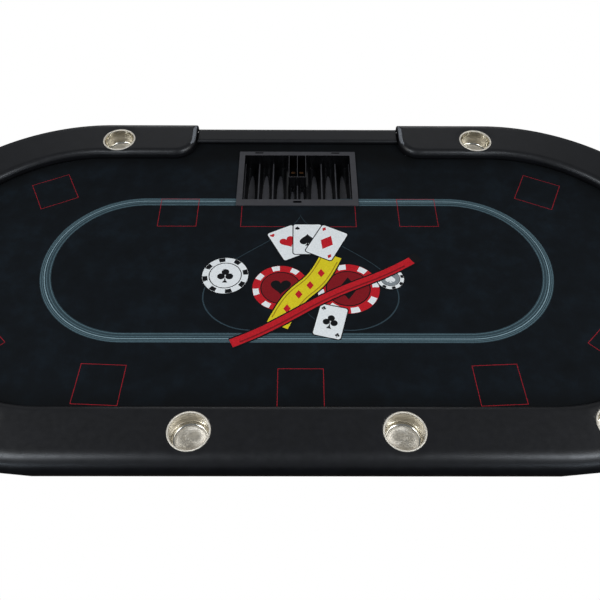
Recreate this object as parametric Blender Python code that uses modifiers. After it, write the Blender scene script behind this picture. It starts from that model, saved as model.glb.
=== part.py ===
"""Folding poker table top: a padded oval rail, a cloth playing surface, a dealer's chip tray,
drop-in cups and two steel leg frames that fold flat under the deck.

Blender 4.5. Metres, +Z up. The origin is on the floor under the middle of the table, which
stands on its legs: +X runs along the table and +Y points at the dealer's side.
"""

import math

import bmesh
import bpy
from mathutils import Matrix, Vector

# ---------------------------------------------------------------- driving dimensions
TABLE_LENGTH = 2.44
TABLE_WIDTH = 1.22
LEG_LENGTH = 0.661  # pivot to the foot's end, so also the height of the pivots
RAIL_WIDTH = 0.155  # across the padding
GAP = 0.0003  # left between pieces that touch
VINYL = 0.0012  # thickness of the rail's vinyl

FOOT_RADIUS = 0.018
LEG_AXIS_Z = LEG_LENGTH  # height of the pivots, and of the folded legs' centre line
DECK_Z = LEG_AXIS_Z + 0.036  # underside of the deck
DECK_THICKNESS = 0.018
RAIL_BOARD_THICKNESS = 0.0177
RAIL_FOAM_TOP = 0.0455  # above the top of the deck
RAIL_TOP = 0.0470
RAIL_INNER_ROUND = 0.018  # radius of the padding's edges
RAIL_OUTER_ROUND = 0.040
BOARD_THICKNESS = 0.0117  # the playing board, then its foam underlay and cloth
UNDERLAY_THICKNESS = 0.0037
CLOTH_THICKNESS = 0.0010
OVERHANG = 0.0050  # how far the padding reaches in over the edge of the playing surface

CUP_NEAR_X = 0.2495
CUP_END_TURNS = (15.5, 71.0, 127.0)  # degrees round each end from the near side
CUP_FAR_X = 0.577
CUP_LINE = 0.5175  # distance of the cups' centres from a line along the table
CUP_LINE_Y = -0.006  # where that line lies
CUP_RIM_RADIUS = 0.0515
CUP_BODY_RADIUS = 0.0470
CUP_FLOOR_RADIUS = 0.0415
CUP_DEPTH = 0.052
CUP_WALL = 0.0009
CUP_HOLE_RADIUS = 0.0482
CUP_SEGMENTS = 16

JOINT_X = 0.48  # where the near length of the rail meets its neighbours
END_STEPS = 16  # facets round each end of the table
END_JOINT_STEP = 9  # the facet at which the two lengths round an end meet
CORNER_STEPS = 5

DEALER_HALF_GAP = 0.331  # from the middle to each end of the padded rail
DEALER_CORNER_RADIUS = 0.065
DEALER_RAIL_FRONT = 0.524
DEALER_RAIL_BACK = 0.594
DEALER_RAIL_TOP = 0.0323  # above the top of the deck
DEALER_RAIL_HALF_LENGTH = 0.3275
DEALER_FRONT_ROUND = 0.008
DEALER_BACK_ROUND = 0.020

TRAY_LENGTH = 0.372
TRAY_DEPTH = 0.246
TRAY_Y = 0.360
TRAY_FLANGE = 0.0037
TRAY_TUB_DEPTH = 0.060
TRAY_TUB_HALF_LENGTH = 0.1715
TRAY_MOUTH_HALF_LENGTH = 0.1680
TRAY_RIDGE_DEPTH = 0.0360  # from the flange down to the ridges between the chip tubes
TUBE_PITCH = 0.0453
TUBE_RADIUS = 0.0206
TUBE_FIRST_EDGE = 0.0320  # the inner side of the first chip tube, from the tray's middle
TRAY_WINDOW_NEAR = 0.026  # the flange's width at the near side, then at the far side
TRAY_WINDOW_FAR = 0.018
SLOT_WALL = 0.0020
SLOT_WIDTH = 0.0245
WINDOW_HALF_LENGTH = 0.0066  # the small windows in the slots' floors
WINDOW_HALF_WIDTH = 0.0051
SHORT_TUBE_X = 0.0155
SHORT_TUBE_RADIUS = 0.0135
TONGUE_HALF_WIDTH = 0.0115
SHORT_TONGUE_HALF_WIDTH = 0.0063

LEG_PIVOT_X = 0.90
LEG_TUBE_RADIUS = 0.0143
LEG_TUBE_WALL = 0.0015
LEG_HALF_SPREAD = 0.280
PIVOT_TUBE_HALF_LENGTH = 0.334
SADDLE_Y = 0.314
SADDLE_WIDTH = 0.024
SADDLE_THICKNESS = 0.003
CROSS_RAIL_AT = 0.520  # distances along the leg from its pivot
BRACE_BAR_AT = 0.240
BRACE_BAR_RADIUS = 0.010
BRACE_LIFT = 0.022  # the folded brace lies this far above the legs' centre line
BRACE_DECK_PIVOT_AT = 0.360
CLIP_AT = 0.470
CLIP_WIDTH = 0.022
LINK_WIDTH = 0.018
LINK_THICKNESS = 0.004
LINK_OFFSET = 0.0035  # the two links lie side by side, either side of the middle
PIN_RADIUS = 0.004

# ---------------------------------------------------------------- sizes worked out from those
OUTER = TABLE_WIDTH / 2  # the oval is a spine of half length SPINE with this radius round it
SPINE = TABLE_LENGTH / 2 - OUTER
INNER = OUTER - RAIL_WIDTH
DECK_RADIUS = OUTER - 0.004
DECK_TOP = DECK_Z + DECK_THICKNESS
BOARD_Z = DECK_TOP + GAP
UNDERLAY_Z = BOARD_Z + BOARD_THICKNESS + GAP
CLOTH_Z = UNDERLAY_Z + UNDERLAY_THICKNESS + GAP
CLOTH_TOP = CLOTH_Z + CLOTH_THICKNESS
SURFACE_RADIUS = INNER + OVERHANG - 0.0005
SKIN_INSET = VINYL + GAP
CUP_RIM_TOP = DECK_TOP + RAIL_FOAM_TOP + GAP + 0.0020
DEALER_CORNER_X = DEALER_HALF_GAP + DEALER_CORNER_RADIUS
DEALER_CORNER_Y = INNER + DEALER_CORNER_RADIUS
TRAY_TOP = CLOTH_TOP + GAP + TRAY_FLANGE
TRAY_NEAR = TRAY_Y - TRAY_DEPTH / 2
TRAY_FAR = TRAY_Y + TRAY_DEPTH / 2
TUBE_NEAR = TRAY_NEAR + TRAY_WINDOW_NEAR
TUBE_FAR = TRAY_FAR - TRAY_WINDOW_FAR
TRAY_HOLE_CLEARANCE = 0.0015
TRAY_RIDGE_Z = TRAY_TOP - TRAY_RIDGE_DEPTH
TRAY_TUB_Z = TRAY_TOP - TRAY_TUB_DEPTH
SLOT_NEAR = TUBE_NEAR + 0.0995  # the near side of the wall in front of the two deck slots
SLOT_BLOCK_HALF = SLOT_WALL * 1.5 + SLOT_WIDTH
SLOT_FLOOR_Z = TRAY_TUB_Z + 0.0025

# The brace is two links. Folded, their lengths differ by the distance between their outer pivots.
# With the leg down they lie in one line.
BRACE_DOWN_RUN = BRACE_DECK_PIVOT_AT - BRACE_LIFT
BRACE_DOWN_DROP = BRACE_BAR_AT + BRACE_LIFT
BRACE_DOWN_LENGTH = math.hypot(BRACE_DOWN_RUN, BRACE_DOWN_DROP)
PIVOTS_APART = BRACE_DECK_PIVOT_AT - BRACE_BAR_AT
UPPER_LINK = (BRACE_DOWN_LENGTH + PIVOTS_APART) / 2
LOWER_LINK = (BRACE_DOWN_LENGTH - PIVOTS_APART) / 2
KNUCKLE_AT = BRACE_DECK_PIVOT_AT - UPPER_LINK
BRACE_SLOPE = math.degrees(math.atan2(BRACE_DOWN_DROP, BRACE_DOWN_RUN))


# ---------------------------------------------------------------- collections and materials
def start_scene():
    for old in list(bpy.data.objects):
        bpy.data.objects.remove(old, do_unlink=True)
    for name in ("folding_poker_table_top", "cutters"):
        bpy.context.scene.collection.children.link(bpy.data.collections.new(name))


def material(name, colour, roughness, metallic=0.0):
    """One Principled material, made once for each name."""
    found = bpy.data.materials.get(name)
    if found:
        return found
    made = bpy.data.materials.new(name)
    made.use_nodes = True
    shader = made.node_tree.nodes["Principled BSDF"]
    shader.inputs["Base Color"].default_value = (*colour, 1.0)
    shader.inputs["Roughness"].default_value = roughness
    shader.inputs["Metallic"].default_value = metallic
    return made


def plywood():
    return material("black_edged_plywood", (0.020, 0.014, 0.011), 0.6)


def rail_foam():
    return material("rail_foam", (0.35, 0.36, 0.38), 0.95)


def black_vinyl():
    return material("black_vinyl", (0.014, 0.014, 0.016), 0.38)


def speed_cloth():
    return material("speed_cloth", (0.006, 0.010, 0.016), 0.85)


def black_abs():
    return material("black_abs", (0.040, 0.038, 0.042), 0.45)


def stainless():
    return material("stainless_steel", (0.62, 0.60, 0.55), 0.25, 1.0)


def leg_paint():
    return material("black_powder_coat", (0.012, 0.012, 0.013), 0.5)


def zinc():
    return material("zinc_plate", (0.55, 0.56, 0.58), 0.35, 1.0)


def rubber():
    return material("foot_rubber", (0.02, 0.02, 0.02), 0.9)


# ---------------------------------------------------------------- making objects
def keep(obj, finish):
    """Puts a finished piece in the table's collection and gives it its material."""
    for home in list(obj.users_collection):
        home.objects.unlink(obj)
    bpy.data.collections["folding_poker_table_top"].objects.link(obj)
    obj.data.materials.clear()
    obj.data.materials.append(finish)
    return obj


def shade_round(obj):
    obj.data.shade_smooth()
    obj.data.set_sharp_from_angle(angle=math.radians(35))
    return obj


def hinge(name, x, z, parent=None):
    """An empty on a joint's axis, which runs across the table. Pieces are hung on it folded."""
    empty = bpy.data.objects.new(name, None)
    bpy.data.collections["folding_poker_table_top"].objects.link(empty)
    empty.location = (x, 0, z)
    if parent:
        hang(empty, parent)
    bpy.context.view_layer.update()
    return empty


def hang(piece, empty):
    """Parents a piece, and what its Booleans use, without moving it."""
    cut_by = [m.object for m in getattr(piece, "modifiers", []) if m.type == "BOOLEAN"]
    for obj in [piece] + cut_by:
        obj.parent = empty
        obj.matrix_parent_inverse = empty.matrix_world.inverted()


def mesh_object(name, bm):
    mesh = bpy.data.meshes.new(name)
    bmesh.ops.recalc_face_normals(bm, faces=bm.faces)
    if bm.calc_volume(signed=True) < 0:
        bmesh.ops.reverse_faces(bm, faces=bm.faces)
    bm.to_mesh(mesh)
    bm.free()
    obj = bpy.data.objects.new(name, mesh)
    bpy.context.scene.collection.objects.link(obj)
    return obj


def add_cylinder(bm, radius, low, high, segments=12, axis="Z"):
    """A closed cylinder between two points that differ along one axis."""
    low, high = Vector(low), Vector(high)
    turn = {
        "X": Matrix.Rotation(math.radians(90), 4, "Y"),
        "Y": Matrix.Rotation(math.radians(90), 4, "X"),
        "Z": Matrix.Identity(4),
    }[axis]
    bmesh.ops.create_cone(
        bm,
        cap_ends=True,
        segments=segments,
        radius1=radius,
        radius2=radius,
        depth=(high - low).length,
        matrix=Matrix.Translation((low + high) / 2) @ turn,
    )


def add_box(bm, low, high):
    low, high = Vector(low), Vector(high)
    size = high - low
    scale = Matrix.Diagonal((size.x, size.y, size.z, 1.0))
    bmesh.ops.create_cube(bm, size=1.0, matrix=Matrix.Translation((low + high) / 2) @ scale)


def cutter(name, bm):
    obj = mesh_object(name, bm)
    bpy.context.scene.collection.objects.unlink(obj)
    bpy.data.collections["cutters"].objects.link(obj)
    obj.hide_render = True
    obj.display_type = "WIRE"
    return obj


def combine(obj, other, operation, solver="EXACT"):
    """Leaves a Boolean modifier on obj: DIFFERENCE takes other away, UNION adds it."""
    boolean = obj.modifiers.new(operation.lower(), "BOOLEAN")
    boolean.object = other
    boolean.operation = operation
    boolean.solver = solver
    return obj


def outline_plate(name, outlines, thickness, matrix, finish):
    """A flat plate from closed outlines (the first is its edge, the rest are holes), made a mesh."""
    curve = bpy.data.curves.new(name, "CURVE")
    curve.dimensions = "2D"
    curve.fill_mode = "BOTH"
    curve.extrude = thickness / 2
    for points in outlines:
        spline = curve.splines.new("POLY")
        spline.points.add(len(points) - 1)
        for point, (x, y) in zip(spline.points, points):
            point.co = (x, y, 0.0, 1.0)
        spline.use_cyclic_u = True
    drawn = bpy.data.objects.new(name + "_outline", curve)
    bpy.context.scene.collection.objects.link(drawn)
    drawn.matrix_world = matrix
    bpy.context.view_layer.update()
    mesh = bpy.data.meshes.new_from_object(drawn.evaluated_get(bpy.context.evaluated_depsgraph_get()))
    mesh.name = name
    bm = bmesh.new()
    bm.from_mesh(mesh)
    bmesh.ops.remove_doubles(bm, verts=bm.verts, dist=1e-6)
    bmesh.ops.recalc_face_normals(bm, faces=bm.faces)
    bm.to_mesh(mesh)
    bm.free()
    made = bpy.data.objects.new(name, mesh)
    bpy.context.scene.collection.objects.link(made)
    made.matrix_world = matrix.copy()
    bpy.data.objects.remove(drawn, do_unlink=True)
    return keep(made, finish)


def arc(centre, radius, start, end, steps):
    """Points along an arc, both ends included. Angles are in degrees."""
    points = []
    for step in range(steps + 1):
        angle = math.radians(start + (end - start) * step / steps)
        points.append((centre[0] + radius * math.cos(angle), centre[1] + radius * math.sin(angle)))
    return points


def circle(centre, radius, steps):
    return arc(centre, radius, 0, 360 - 360 / steps, steps - 1)


def stadium(radius):
    """The oval outline at a distance from the spine, anticlockwise from the near right."""
    right_end = arc((SPINE, 0), radius, -90, 90, END_STEPS)
    return right_end + arc((-SPINE, 0), radius, 90, 270, END_STEPS)


def flat_at(z_low, thickness):
    return Matrix.Translation((0, 0, z_low + thickness / 2))


# ---------------------------------------------------------------- places round the table
def place(station, radius):
    """The plan position at a radius from the spine. A station is (spine x, outward angle)."""
    x, angle = station
    return x + radius * math.cos(angle), radius * math.sin(angle)


def cup_places():
    """Plan positions of the cups by number: along the near side, round each end, the far side."""
    round_end = [math.radians(turn - 90) for turn in CUP_END_TURNS]
    right = [(CUP_NEAR_X, -CUP_LINE)]
    right += [place((SPINE, angle), CUP_LINE) for angle in round_end]
    right += [(CUP_FAR_X, CUP_LINE)]
    left = [(-x, y) for x, y in right]
    return [(x, y + CUP_LINE_Y) for x, y in left + right]


def cup_hole_cutter(name, radius, z_low, z_high):
    bm = bmesh.new()
    for x, y in cup_places():
        add_cylinder(bm, radius, (x, y, z_low), (x, y, z_high), CUP_SEGMENTS)
    return cutter(name, bm)


# ---------------------------------------------------------------- deck and playing surface
def surface_outline(inset=0.0):
    """The playing surface: the oval, with the dealer's bay reaching out past it."""
    radius = SURFACE_RADIUS - inset
    fillet = DEALER_CORNER_RADIUS - OVERHANG + 0.0005 + inset
    bay_back = DEALER_RAIL_FRONT + 0.0090 - inset
    bay_side = DEALER_HALF_GAP - 0.0008 - inset  # just clear of the rail's end faces
    right_fillet = arc((DEALER_CORNER_X, DEALER_CORNER_Y), fillet, 270, 180, CORNER_STEPS)[:-1]
    right_bay = right_fillet + [(bay_side, DEALER_CORNER_Y - 0.005), (bay_side, bay_back)]
    bay = right_bay + [(-x, y) for x, y in reversed(right_bay)]
    right_end = arc((SPINE, 0), radius, -90, 90, END_STEPS)
    left_end = arc((-SPINE, 0), radius, 90, 270, END_STEPS)
    return right_end + bay + left_end


def tray_hole():
    side = TRAY_TUB_HALF_LENGTH + TRAY_HOLE_CLEARANCE
    near = TUBE_NEAR - 0.004 - TRAY_HOLE_CLEARANCE
    far = TUBE_FAR + 0.004 + TRAY_HOLE_CLEARANCE
    return [(-side, near), (side, near), (side, far), (-side, far)]


def make_deck():
    deck = outline_plate(
        "deck_panel",
        [stadium(DECK_RADIUS), tray_hole()],
        DECK_THICKNESS,
        flat_at(DECK_Z, DECK_THICKNESS),
        plywood(),
    )
    low, high = DECK_Z - 0.01, DECK_TOP + 0.01
    combine(deck, cup_hole_cutter("deck_cup_holes", CUP_HOLE_RADIUS, low, high), "DIFFERENCE")


def make_playing_surface():
    outline_plate(
        "playing_board",
        [surface_outline(), tray_hole()],
        BOARD_THICKNESS,
        flat_at(BOARD_Z, BOARD_THICKNESS),
        material("mdf_board", (0.32, 0.20, 0.11), 0.7),
    )
    outline_plate(
        "foam_underlay",
        [surface_outline(), tray_hole()],
        UNDERLAY_THICKNESS,
        flat_at(UNDERLAY_Z, UNDERLAY_THICKNESS),
        rail_foam(),
    )
    outline_plate(
        "speed_cloth",
        [surface_outline(), tray_hole()],
        CLOTH_THICKNESS,
        flat_at(CLOTH_Z, CLOTH_THICKNESS),
        speed_cloth(),
    )


# ---------------------------------------------------------------- the padded rail
def near_stretch(start, end):
    """Stations along the near side: (spine x, outward angle, inner radius)."""
    return [(start, math.radians(-90), INNER), (end, math.radians(-90), INNER)]


def end_turn(side, first, last):
    """Stations round one end, counted in facets from the near side."""
    made = []
    for step in range(first, last + 1):
        turn = math.pi * step / END_STEPS
        made.append((side * SPINE, math.radians(-90) + side * turn, INNER))
    return made


def far_stretch(side):
    """Stations from the end of the turn to the dealer's bay, where the inner corner is rounded."""
    angle = math.radians(-90 + side * 180)
    made = [(side * SPINE, angle, INNER)]
    for step in range(CORNER_STEPS + 1):
        bend = math.radians(90) * step / CORNER_STEPS
        x = DEALER_CORNER_X - DEALER_CORNER_RADIUS * math.sin(bend)
        inner = DEALER_CORNER_Y - DEALER_CORNER_RADIUS * math.cos(bend)
        made.append((side * x, angle, inner))
    return made


def rail_segments():
    """The rail is made in five lengths, which meet between the cups."""
    lengths = {"near": near_stretch(-JOINT_X, JOINT_X)}
    for name, side in (("left", -1), ("right", 1)):
        start = near_stretch(side * JOINT_X, side * SPINE)[:1]
        lengths[f"{name}_near"] = start + end_turn(side, 0, END_JOINT_STEP)
        lengths[f"{name}_far"] = end_turn(side, END_JOINT_STEP, END_STEPS) + far_stretch(side)[1:]
    return lengths


def shorten(stations, by):
    """Pulls the first and last stations back by half a joint, so that the lengths just meet."""
    made = list(stations)
    for index, towards in ((0, 1), (-1, -2)):
        x, angle, inner = made[index]
        next_x, next_angle, _ = made[towards]
        if abs(next_x - x) > 1e-9:
            made[index] = (x + math.copysign(by, next_x - x), angle, inner)
        else:
            made[index] = (x, angle + math.copysign(by / OUTER, next_angle - angle), inner)
    return made


def loft(name, stations, section, closed=True):
    """A solid through one section at each station, or a skin where the section isn't closed.
    A section is (radius, z) points."""
    bm = bmesh.new()
    rings = []
    for station in stations:
        x, angle, inner = station
        ring = []
        for radius, z in section(inner):
            px, py = place((x, angle), radius)
            ring.append(bm.verts.new((px, py, z)))
        rings.append(ring)
    for ring, following in zip(rings, rings[1:]):
        count = len(ring)
        for i in range(count if closed else count - 1):
            j = (i + 1) % count
            bm.faces.new((ring[i], ring[j], following[j], following[i]))
    bm.faces.new(rings[0])
    bm.faces.new(rings[-1])
    return mesh_object(name, bm)


def padding_section(inner, inset, bottom):
    """The padding's rounded top, from the inner foot over to the outer foot."""
    top = DECK_TOP + RAIL_TOP - inset
    inner_radius = RAIL_INNER_ROUND - inset
    outer_radius = RAIL_OUTER_ROUND - inset
    start = (inner + inset, bottom[0])
    over_inner = arc((inner + inset + inner_radius, top - inner_radius), inner_radius, 180, 90, 3)
    over_outer = arc((OUTER - inset - outer_radius, top - outer_radius), outer_radius, 90, 0, 4)
    return [start] + over_inner + over_outer + [(OUTER - inset, bottom[1])]


def cut_at(level, points):
    """Ends a section where it comes down through a level."""
    kept = points[:1]
    for start, end in zip(points, points[1:]):
        if end[1] < level - 1e-9:
            share = (start[1] - level) / (start[1] - end[1])
            kept.append((start[0] + (end[0] - start[0]) * share, level))
            break
        kept.append(end)
    return kept


def board_section(inner):
    low = DECK_TOP + GAP
    high = low + RAIL_BOARD_THICKNESS
    inside = inner + OVERHANG
    outside = OUTER - 0.0045  # clear of the padding's outer rounding
    return [(inside, low), (inside, high), (outside, high), (outside, low)]


def foam_section(inner):
    low = DECK_TOP + GAP + RAIL_BOARD_THICKNESS + GAP
    return cut_at(low, padding_section(inner, SKIN_INSET, (low, low)))


def cover_section(inner):
    return padding_section(inner, 0.0, (CLOTH_TOP + GAP, DECK_TOP + GAP))


def set_back_end(stations, distance):
    """Moves the dealer's-bay end of a far length away from the bay, with its rounded corner."""
    made = []
    for x, angle, inner in stations:
        side = math.copysign(1.0, x)
        if abs(x) < DEALER_CORNER_X - 1e-9:
            sweep = (DEALER_CORNER_X - abs(x)) / DEALER_CORNER_RADIUS
            x = side * (DEALER_CORNER_X - (DEALER_CORNER_RADIUS - distance) * sweep)
            lean = math.sqrt(max(0.0, 1.0 - sweep * sweep))
            inner = DEALER_CORNER_Y - distance - (DEALER_CORNER_RADIUS - distance) * lean
        made.append((x, angle, inner))
    return made


def make_rail():
    joint = GAP / 2
    holes_low, holes_high = DECK_TOP - 0.01, DECK_TOP + RAIL_TOP + 0.01
    for name, stations in rail_segments().items():
        far = name.endswith("_far")
        board_stations = shorten(set_back_end(stations, OVERHANG) if far else stations, joint)
        foam_stations = shorten(set_back_end(stations, SKIN_INSET) if far else stations, joint)
        board = keep(loft(f"rail_board_{name}", board_stations, board_section), plywood())
        holes = cup_hole_cutter(f"board_{name}_cup_holes", CUP_HOLE_RADIUS, holes_low, holes_high)
        combine(board, holes, "DIFFERENCE", "MANIFOLD")
        foam = keep(loft(f"rail_foam_{name}", foam_stations, foam_section), rail_foam())
        combine(foam, holes, "DIFFERENCE", "MANIFOLD")


def make_rail_cover():
    """One continuous vinyl skin, from one side of the dealer's bay round to the other."""
    left = end_turn(-1, 0, END_STEPS) + far_stretch(-1)[1:]
    right = end_turn(1, 0, END_STEPS) + far_stretch(1)[1:]
    around = list(reversed(left)) + right
    cover = keep(loft("rail_cover", around, cover_section, closed=False), black_vinyl())
    skin = cover.modifiers.new("skin", "SOLIDIFY")
    skin.thickness = VINYL
    skin.offset = -1.0
    skin.use_even_offset = True
    rims = cup_hole_cutter(
        "cover_cup_holes", CUP_RIM_RADIUS + 0.0006, DECK_TOP + 0.03, DECK_TOP + RAIL_TOP + 0.01
    )
    combine(cover, rims, "DIFFERENCE", "MANIFOLD")


def make_dealer_rail():
    """The low padded bar across the dealer's bay, on its own board."""
    length = 2 * DEALER_RAIL_HALF_LENGTH
    back = DEALER_RAIL_BACK
    along = Matrix(((0, 0, 1, 0), (1, 0, 0, 0), (0, 1, 0, 0), (0, 0, 0, 1)))

    def section(inset, bottom_front, bottom_back):
        front_radius = DEALER_FRONT_ROUND - inset
        back_radius = DEALER_BACK_ROUND - inset
        top = DECK_TOP + DEALER_RAIL_TOP - inset
        points = [(DEALER_RAIL_FRONT + inset, bottom_front)]
        front_centre = (DEALER_RAIL_FRONT + inset + front_radius, top - front_radius)
        points += arc(front_centre, front_radius, 180, 90, 3)
        points += arc((back - inset - back_radius, top - back_radius), back_radius, 90, 0, 4)
        points += [(back - inset, bottom_back)]
        return points

    low = DECK_TOP + GAP
    board_front = DEALER_RAIL_FRONT + 0.0095
    board_back = back - 0.0050  # clear of the rounding
    high = low + RAIL_BOARD_THICKNESS
    board = [(board_front, low), (board_back, low), (board_back, high), (board_front, high)]
    outline_plate("dealer_rail_board", [board], length, along, plywood())
    foam = cut_at(high + GAP, section(SKIN_INSET, high + GAP, high + GAP))
    outline_plate("dealer_rail_foam", [foam], length - 2 * SKIN_INSET, along, rail_foam())
    outside = section(0.0, CLOTH_TOP + GAP, low)
    inside = list(reversed(section(VINYL, CLOTH_TOP + GAP, low)))
    outline_plate("dealer_rail_cover", [outside + inside], length, along, black_vinyl())


# ---------------------------------------------------------------- cups
def cup_profile():
    """Half section of the cup's wall: from the axis up its inside, over the rim and back down."""
    top = CUP_RIM_TOP
    floor = top - CUP_DEPTH
    foot = CUP_BODY_RADIUS - 0.0018
    outside = [
        (CUP_RIM_RADIUS - 0.0010, top),
        (CUP_RIM_RADIUS, top - 0.0018),
        (CUP_BODY_RADIUS, top - 0.0018),
        (foot, floor + 0.0040),
        (CUP_FLOOR_RADIUS, floor),
        (0.0, floor),
    ]
    inside = [
        (0.0, floor + CUP_WALL),
        (CUP_FLOOR_RADIUS - 0.0003, floor + CUP_WALL),
        (foot - CUP_WALL, floor + 0.0044),
        (CUP_BODY_RADIUS - CUP_WALL, top),
    ]
    return inside + outside


def make_cups():
    """One turned mesh, shared by all the cups, each standing on its own axis."""
    bm = bmesh.new()
    points = [bm.verts.new((radius, 0.0, z)) for radius, z in cup_profile()]
    for start, end in zip(points, points[1:]):
        bm.edges.new((start, end))
    mesh = bpy.data.meshes.new("cup_profile")
    bm.to_mesh(mesh)
    bm.free()
    for number, (x, y) in enumerate(cup_places(), start=1):
        cup = bpy.data.objects.new(f"cup_holder_{number:02d}", mesh)
        bpy.context.scene.collection.objects.link(cup)
        cup.location = (x, y, 0.0)
        screw = cup.modifiers.new("turn", "SCREW")
        screw.steps = screw.render_steps = CUP_SEGMENTS
        screw.use_merge_vertices = True
        screw.merge_threshold = 0.0001
        keep(cup, stainless())


# ---------------------------------------------------------------- chip tray
def tube_centres():
    """Middles of the six chip tubes, three each side of the deck slots."""
    first = TUBE_FIRST_EDGE + TUBE_PITCH / 2
    right = [first + i * TUBE_PITCH for i in range(3)]
    return [-x for x in reversed(right)] + right


def tongue(bm, x, radius, half_width, near, length):
    """The raised land on a tube's floor: widest at the near wall, with a rounded far tip. Its top
    fades into the tube, so each edge point stands where the tube's curve is that wide."""
    axis_z = TRAY_RIDGE_Z
    steps = 6
    edge = []
    for step in range(steps):
        share = step / steps
        width = half_width * math.sqrt(1.0 - share * share)
        edge.append((width, near + length * share, axis_z - math.sqrt(radius**2 - width**2)))
    tip = (x, near + length, axis_z - radius)
    left = [(x - width, y, z) for width, y, z in edge]
    right = [(x + width, y, z) for width, y, z in edge]
    outline = left + [tip] + list(reversed(right))
    floor = axis_z - radius - 0.0010
    top = [bm.verts.new(point) for point in outline]
    base = [bm.verts.new((px, py, floor)) for px, py, _ in outline]
    bm.faces.new(top)
    bm.faces.new(base)
    for i in range(len(outline)):
        j = (i + 1) % len(outline)
        bm.faces.new((top[i], top[j], base[j], base[i]))


def tray_trough_cutter():
    """The six chip tubes' half rounds and the two short ones in front of the deck slots."""
    bm = bmesh.new()
    z = TRAY_RIDGE_Z
    for x in tube_centres():
        add_cylinder(bm, TUBE_RADIUS, (x, TUBE_NEAR, z), (x, TUBE_FAR, z), 20, "Y")
    for x in (-SHORT_TUBE_X, SHORT_TUBE_X):
        add_cylinder(bm, SHORT_TUBE_RADIUS, (x, TUBE_NEAR, z), (x, SLOT_NEAR, z), 16, "Y")
    return cutter("tray_troughs", bm)


def tray_mouth_cutter():
    """The open space above the ridges, which runs round the block that holds the deck slots."""
    half, block, near, far = TRAY_MOUTH_HALF_LENGTH, SLOT_BLOCK_HALF, TUBE_NEAR, TUBE_FAR
    outline = [(-half, near), (half, near), (half, far), (block, far), (block, SLOT_NEAR)]
    outline += [(-block, SLOT_NEAR), (-block, far), (-half, far)]
    bm = bmesh.new()
    low = [bm.verts.new((x, y, TRAY_RIDGE_Z)) for x, y in outline]
    bottom = bm.faces.new(low)
    raised = bmesh.ops.extrude_face_region(bm, geom=[bottom])
    moved = [v for v in raised["geom"] if isinstance(v, bmesh.types.BMVert)]
    bmesh.ops.translate(bm, verts=moved, vec=(0, 0, TRAY_RIDGE_DEPTH + 0.01))
    return cutter("tray_mouth", bm)


def tray_slot_cutter():
    """Two deck slots, each with two small windows in its floor."""
    bm = bmesh.new()
    for side in (-1, 1):
        inner, outer = SLOT_WALL / 2, SLOT_WALL / 2 + SLOT_WIDTH
        near_x, far_x = sorted((side * inner, side * outer))
        low = (near_x, SLOT_NEAR + SLOT_WALL, SLOT_FLOOR_Z)
        add_box(bm, low, (far_x, TUBE_FAR, TRAY_TOP + 0.01))
    return cutter("tray_slots", bm)


def tray_window_cutter():
    bm = bmesh.new()
    for x in (-0.0135, 0.0135):
        for y in (TUBE_FAR - 0.0385, TUBE_FAR - 0.0175):
            low = (x - WINDOW_HALF_LENGTH, y - WINDOW_HALF_WIDTH, TRAY_TUB_Z - 0.01)
            high = (x + WINDOW_HALF_LENGTH, y + WINDOW_HALF_WIDTH, SLOT_FLOOR_Z + 0.01)
            add_box(bm, low, high)
    return cutter("tray_windows", bm)


def make_tray():
    """A moulded tub with a flange: six long chip tubes, two deck slots and two short tubes."""
    half = TRAY_LENGTH / 2
    bm = bmesh.new()
    add_box(bm, (-half, TRAY_NEAR, TRAY_TOP - TRAY_FLANGE), (half, TRAY_FAR, TRAY_TOP))
    tray = keep(mesh_object("chip_tray", bm), black_abs())
    bm = bmesh.new()
    tub_low = (-TRAY_TUB_HALF_LENGTH, TUBE_NEAR - 0.0035, TRAY_TUB_Z)
    add_box(bm, tub_low, (TRAY_TUB_HALF_LENGTH, TUBE_FAR + 0.0035, TRAY_TOP - 0.001))
    combine(tray, cutter("tray_tub", bm), "UNION")
    combine(tray, tray_mouth_cutter(), "DIFFERENCE")
    combine(tray, tray_trough_cutter(), "DIFFERENCE")
    combine(tray, tray_slot_cutter(), "DIFFERENCE")
    combine(tray, tray_window_cutter(), "DIFFERENCE")

    bm = bmesh.new()
    near = TUBE_NEAR - 0.001
    for x in tube_centres():
        tongue(bm, x, TUBE_RADIUS, TONGUE_HALF_WIDTH, near, 0.166)
    for x in (-SHORT_TUBE_X, SHORT_TUBE_X):
        tongue(bm, x, SHORT_TUBE_RADIUS, SHORT_TONGUE_HALF_WIDTH, near, 0.086)
    combine(tray, cutter("tray_tongues", bm), "UNION")

    bm = bmesh.new()
    far_y = TRAY_FAR - TRAY_WINDOW_FAR / 2 + 0.003
    lid_slots = [(-0.123, far_y, 0.0026), (0.123, far_y, 0.0026), (0.0, TRAY_NEAR + 0.0150, 0.0042)]
    for x, y, half_width in lid_slots:
        low = (x - 0.0135, y - half_width, TRAY_TOP - 0.0025)
        add_box(bm, low, (x + 0.0135, y + half_width, TRAY_TOP + 0.01))
    combine(tray, cutter("tray_lid_slots", bm), "DIFFERENCE")


def make_tray_cradle():
    """A plywood cradle glued under the deck, which carries the bottom of the tray's tub."""
    top = DECK_Z - GAP
    bed = TRAY_TUB_Z - GAP
    inner, outer, base = 0.182, 0.214, bed - 0.009
    outline = [(-outer, top), (-outer, base), (outer, base), (outer, top)]
    outline += [(inner, top), (inner, bed), (-inner, bed), (-inner, top)]
    length = 0.070
    middle = TUBE_FAR - 0.028
    upright = Matrix(((1, 0, 0, 0), (0, 0, -1, middle), (0, 1, 0, 0), (0, 0, 0, 1)))
    finish = material("raw_plywood", (0.55, 0.30, 0.14), 0.7)
    outline_plate("tray_cradle", [outline], length, upright, finish)


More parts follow.
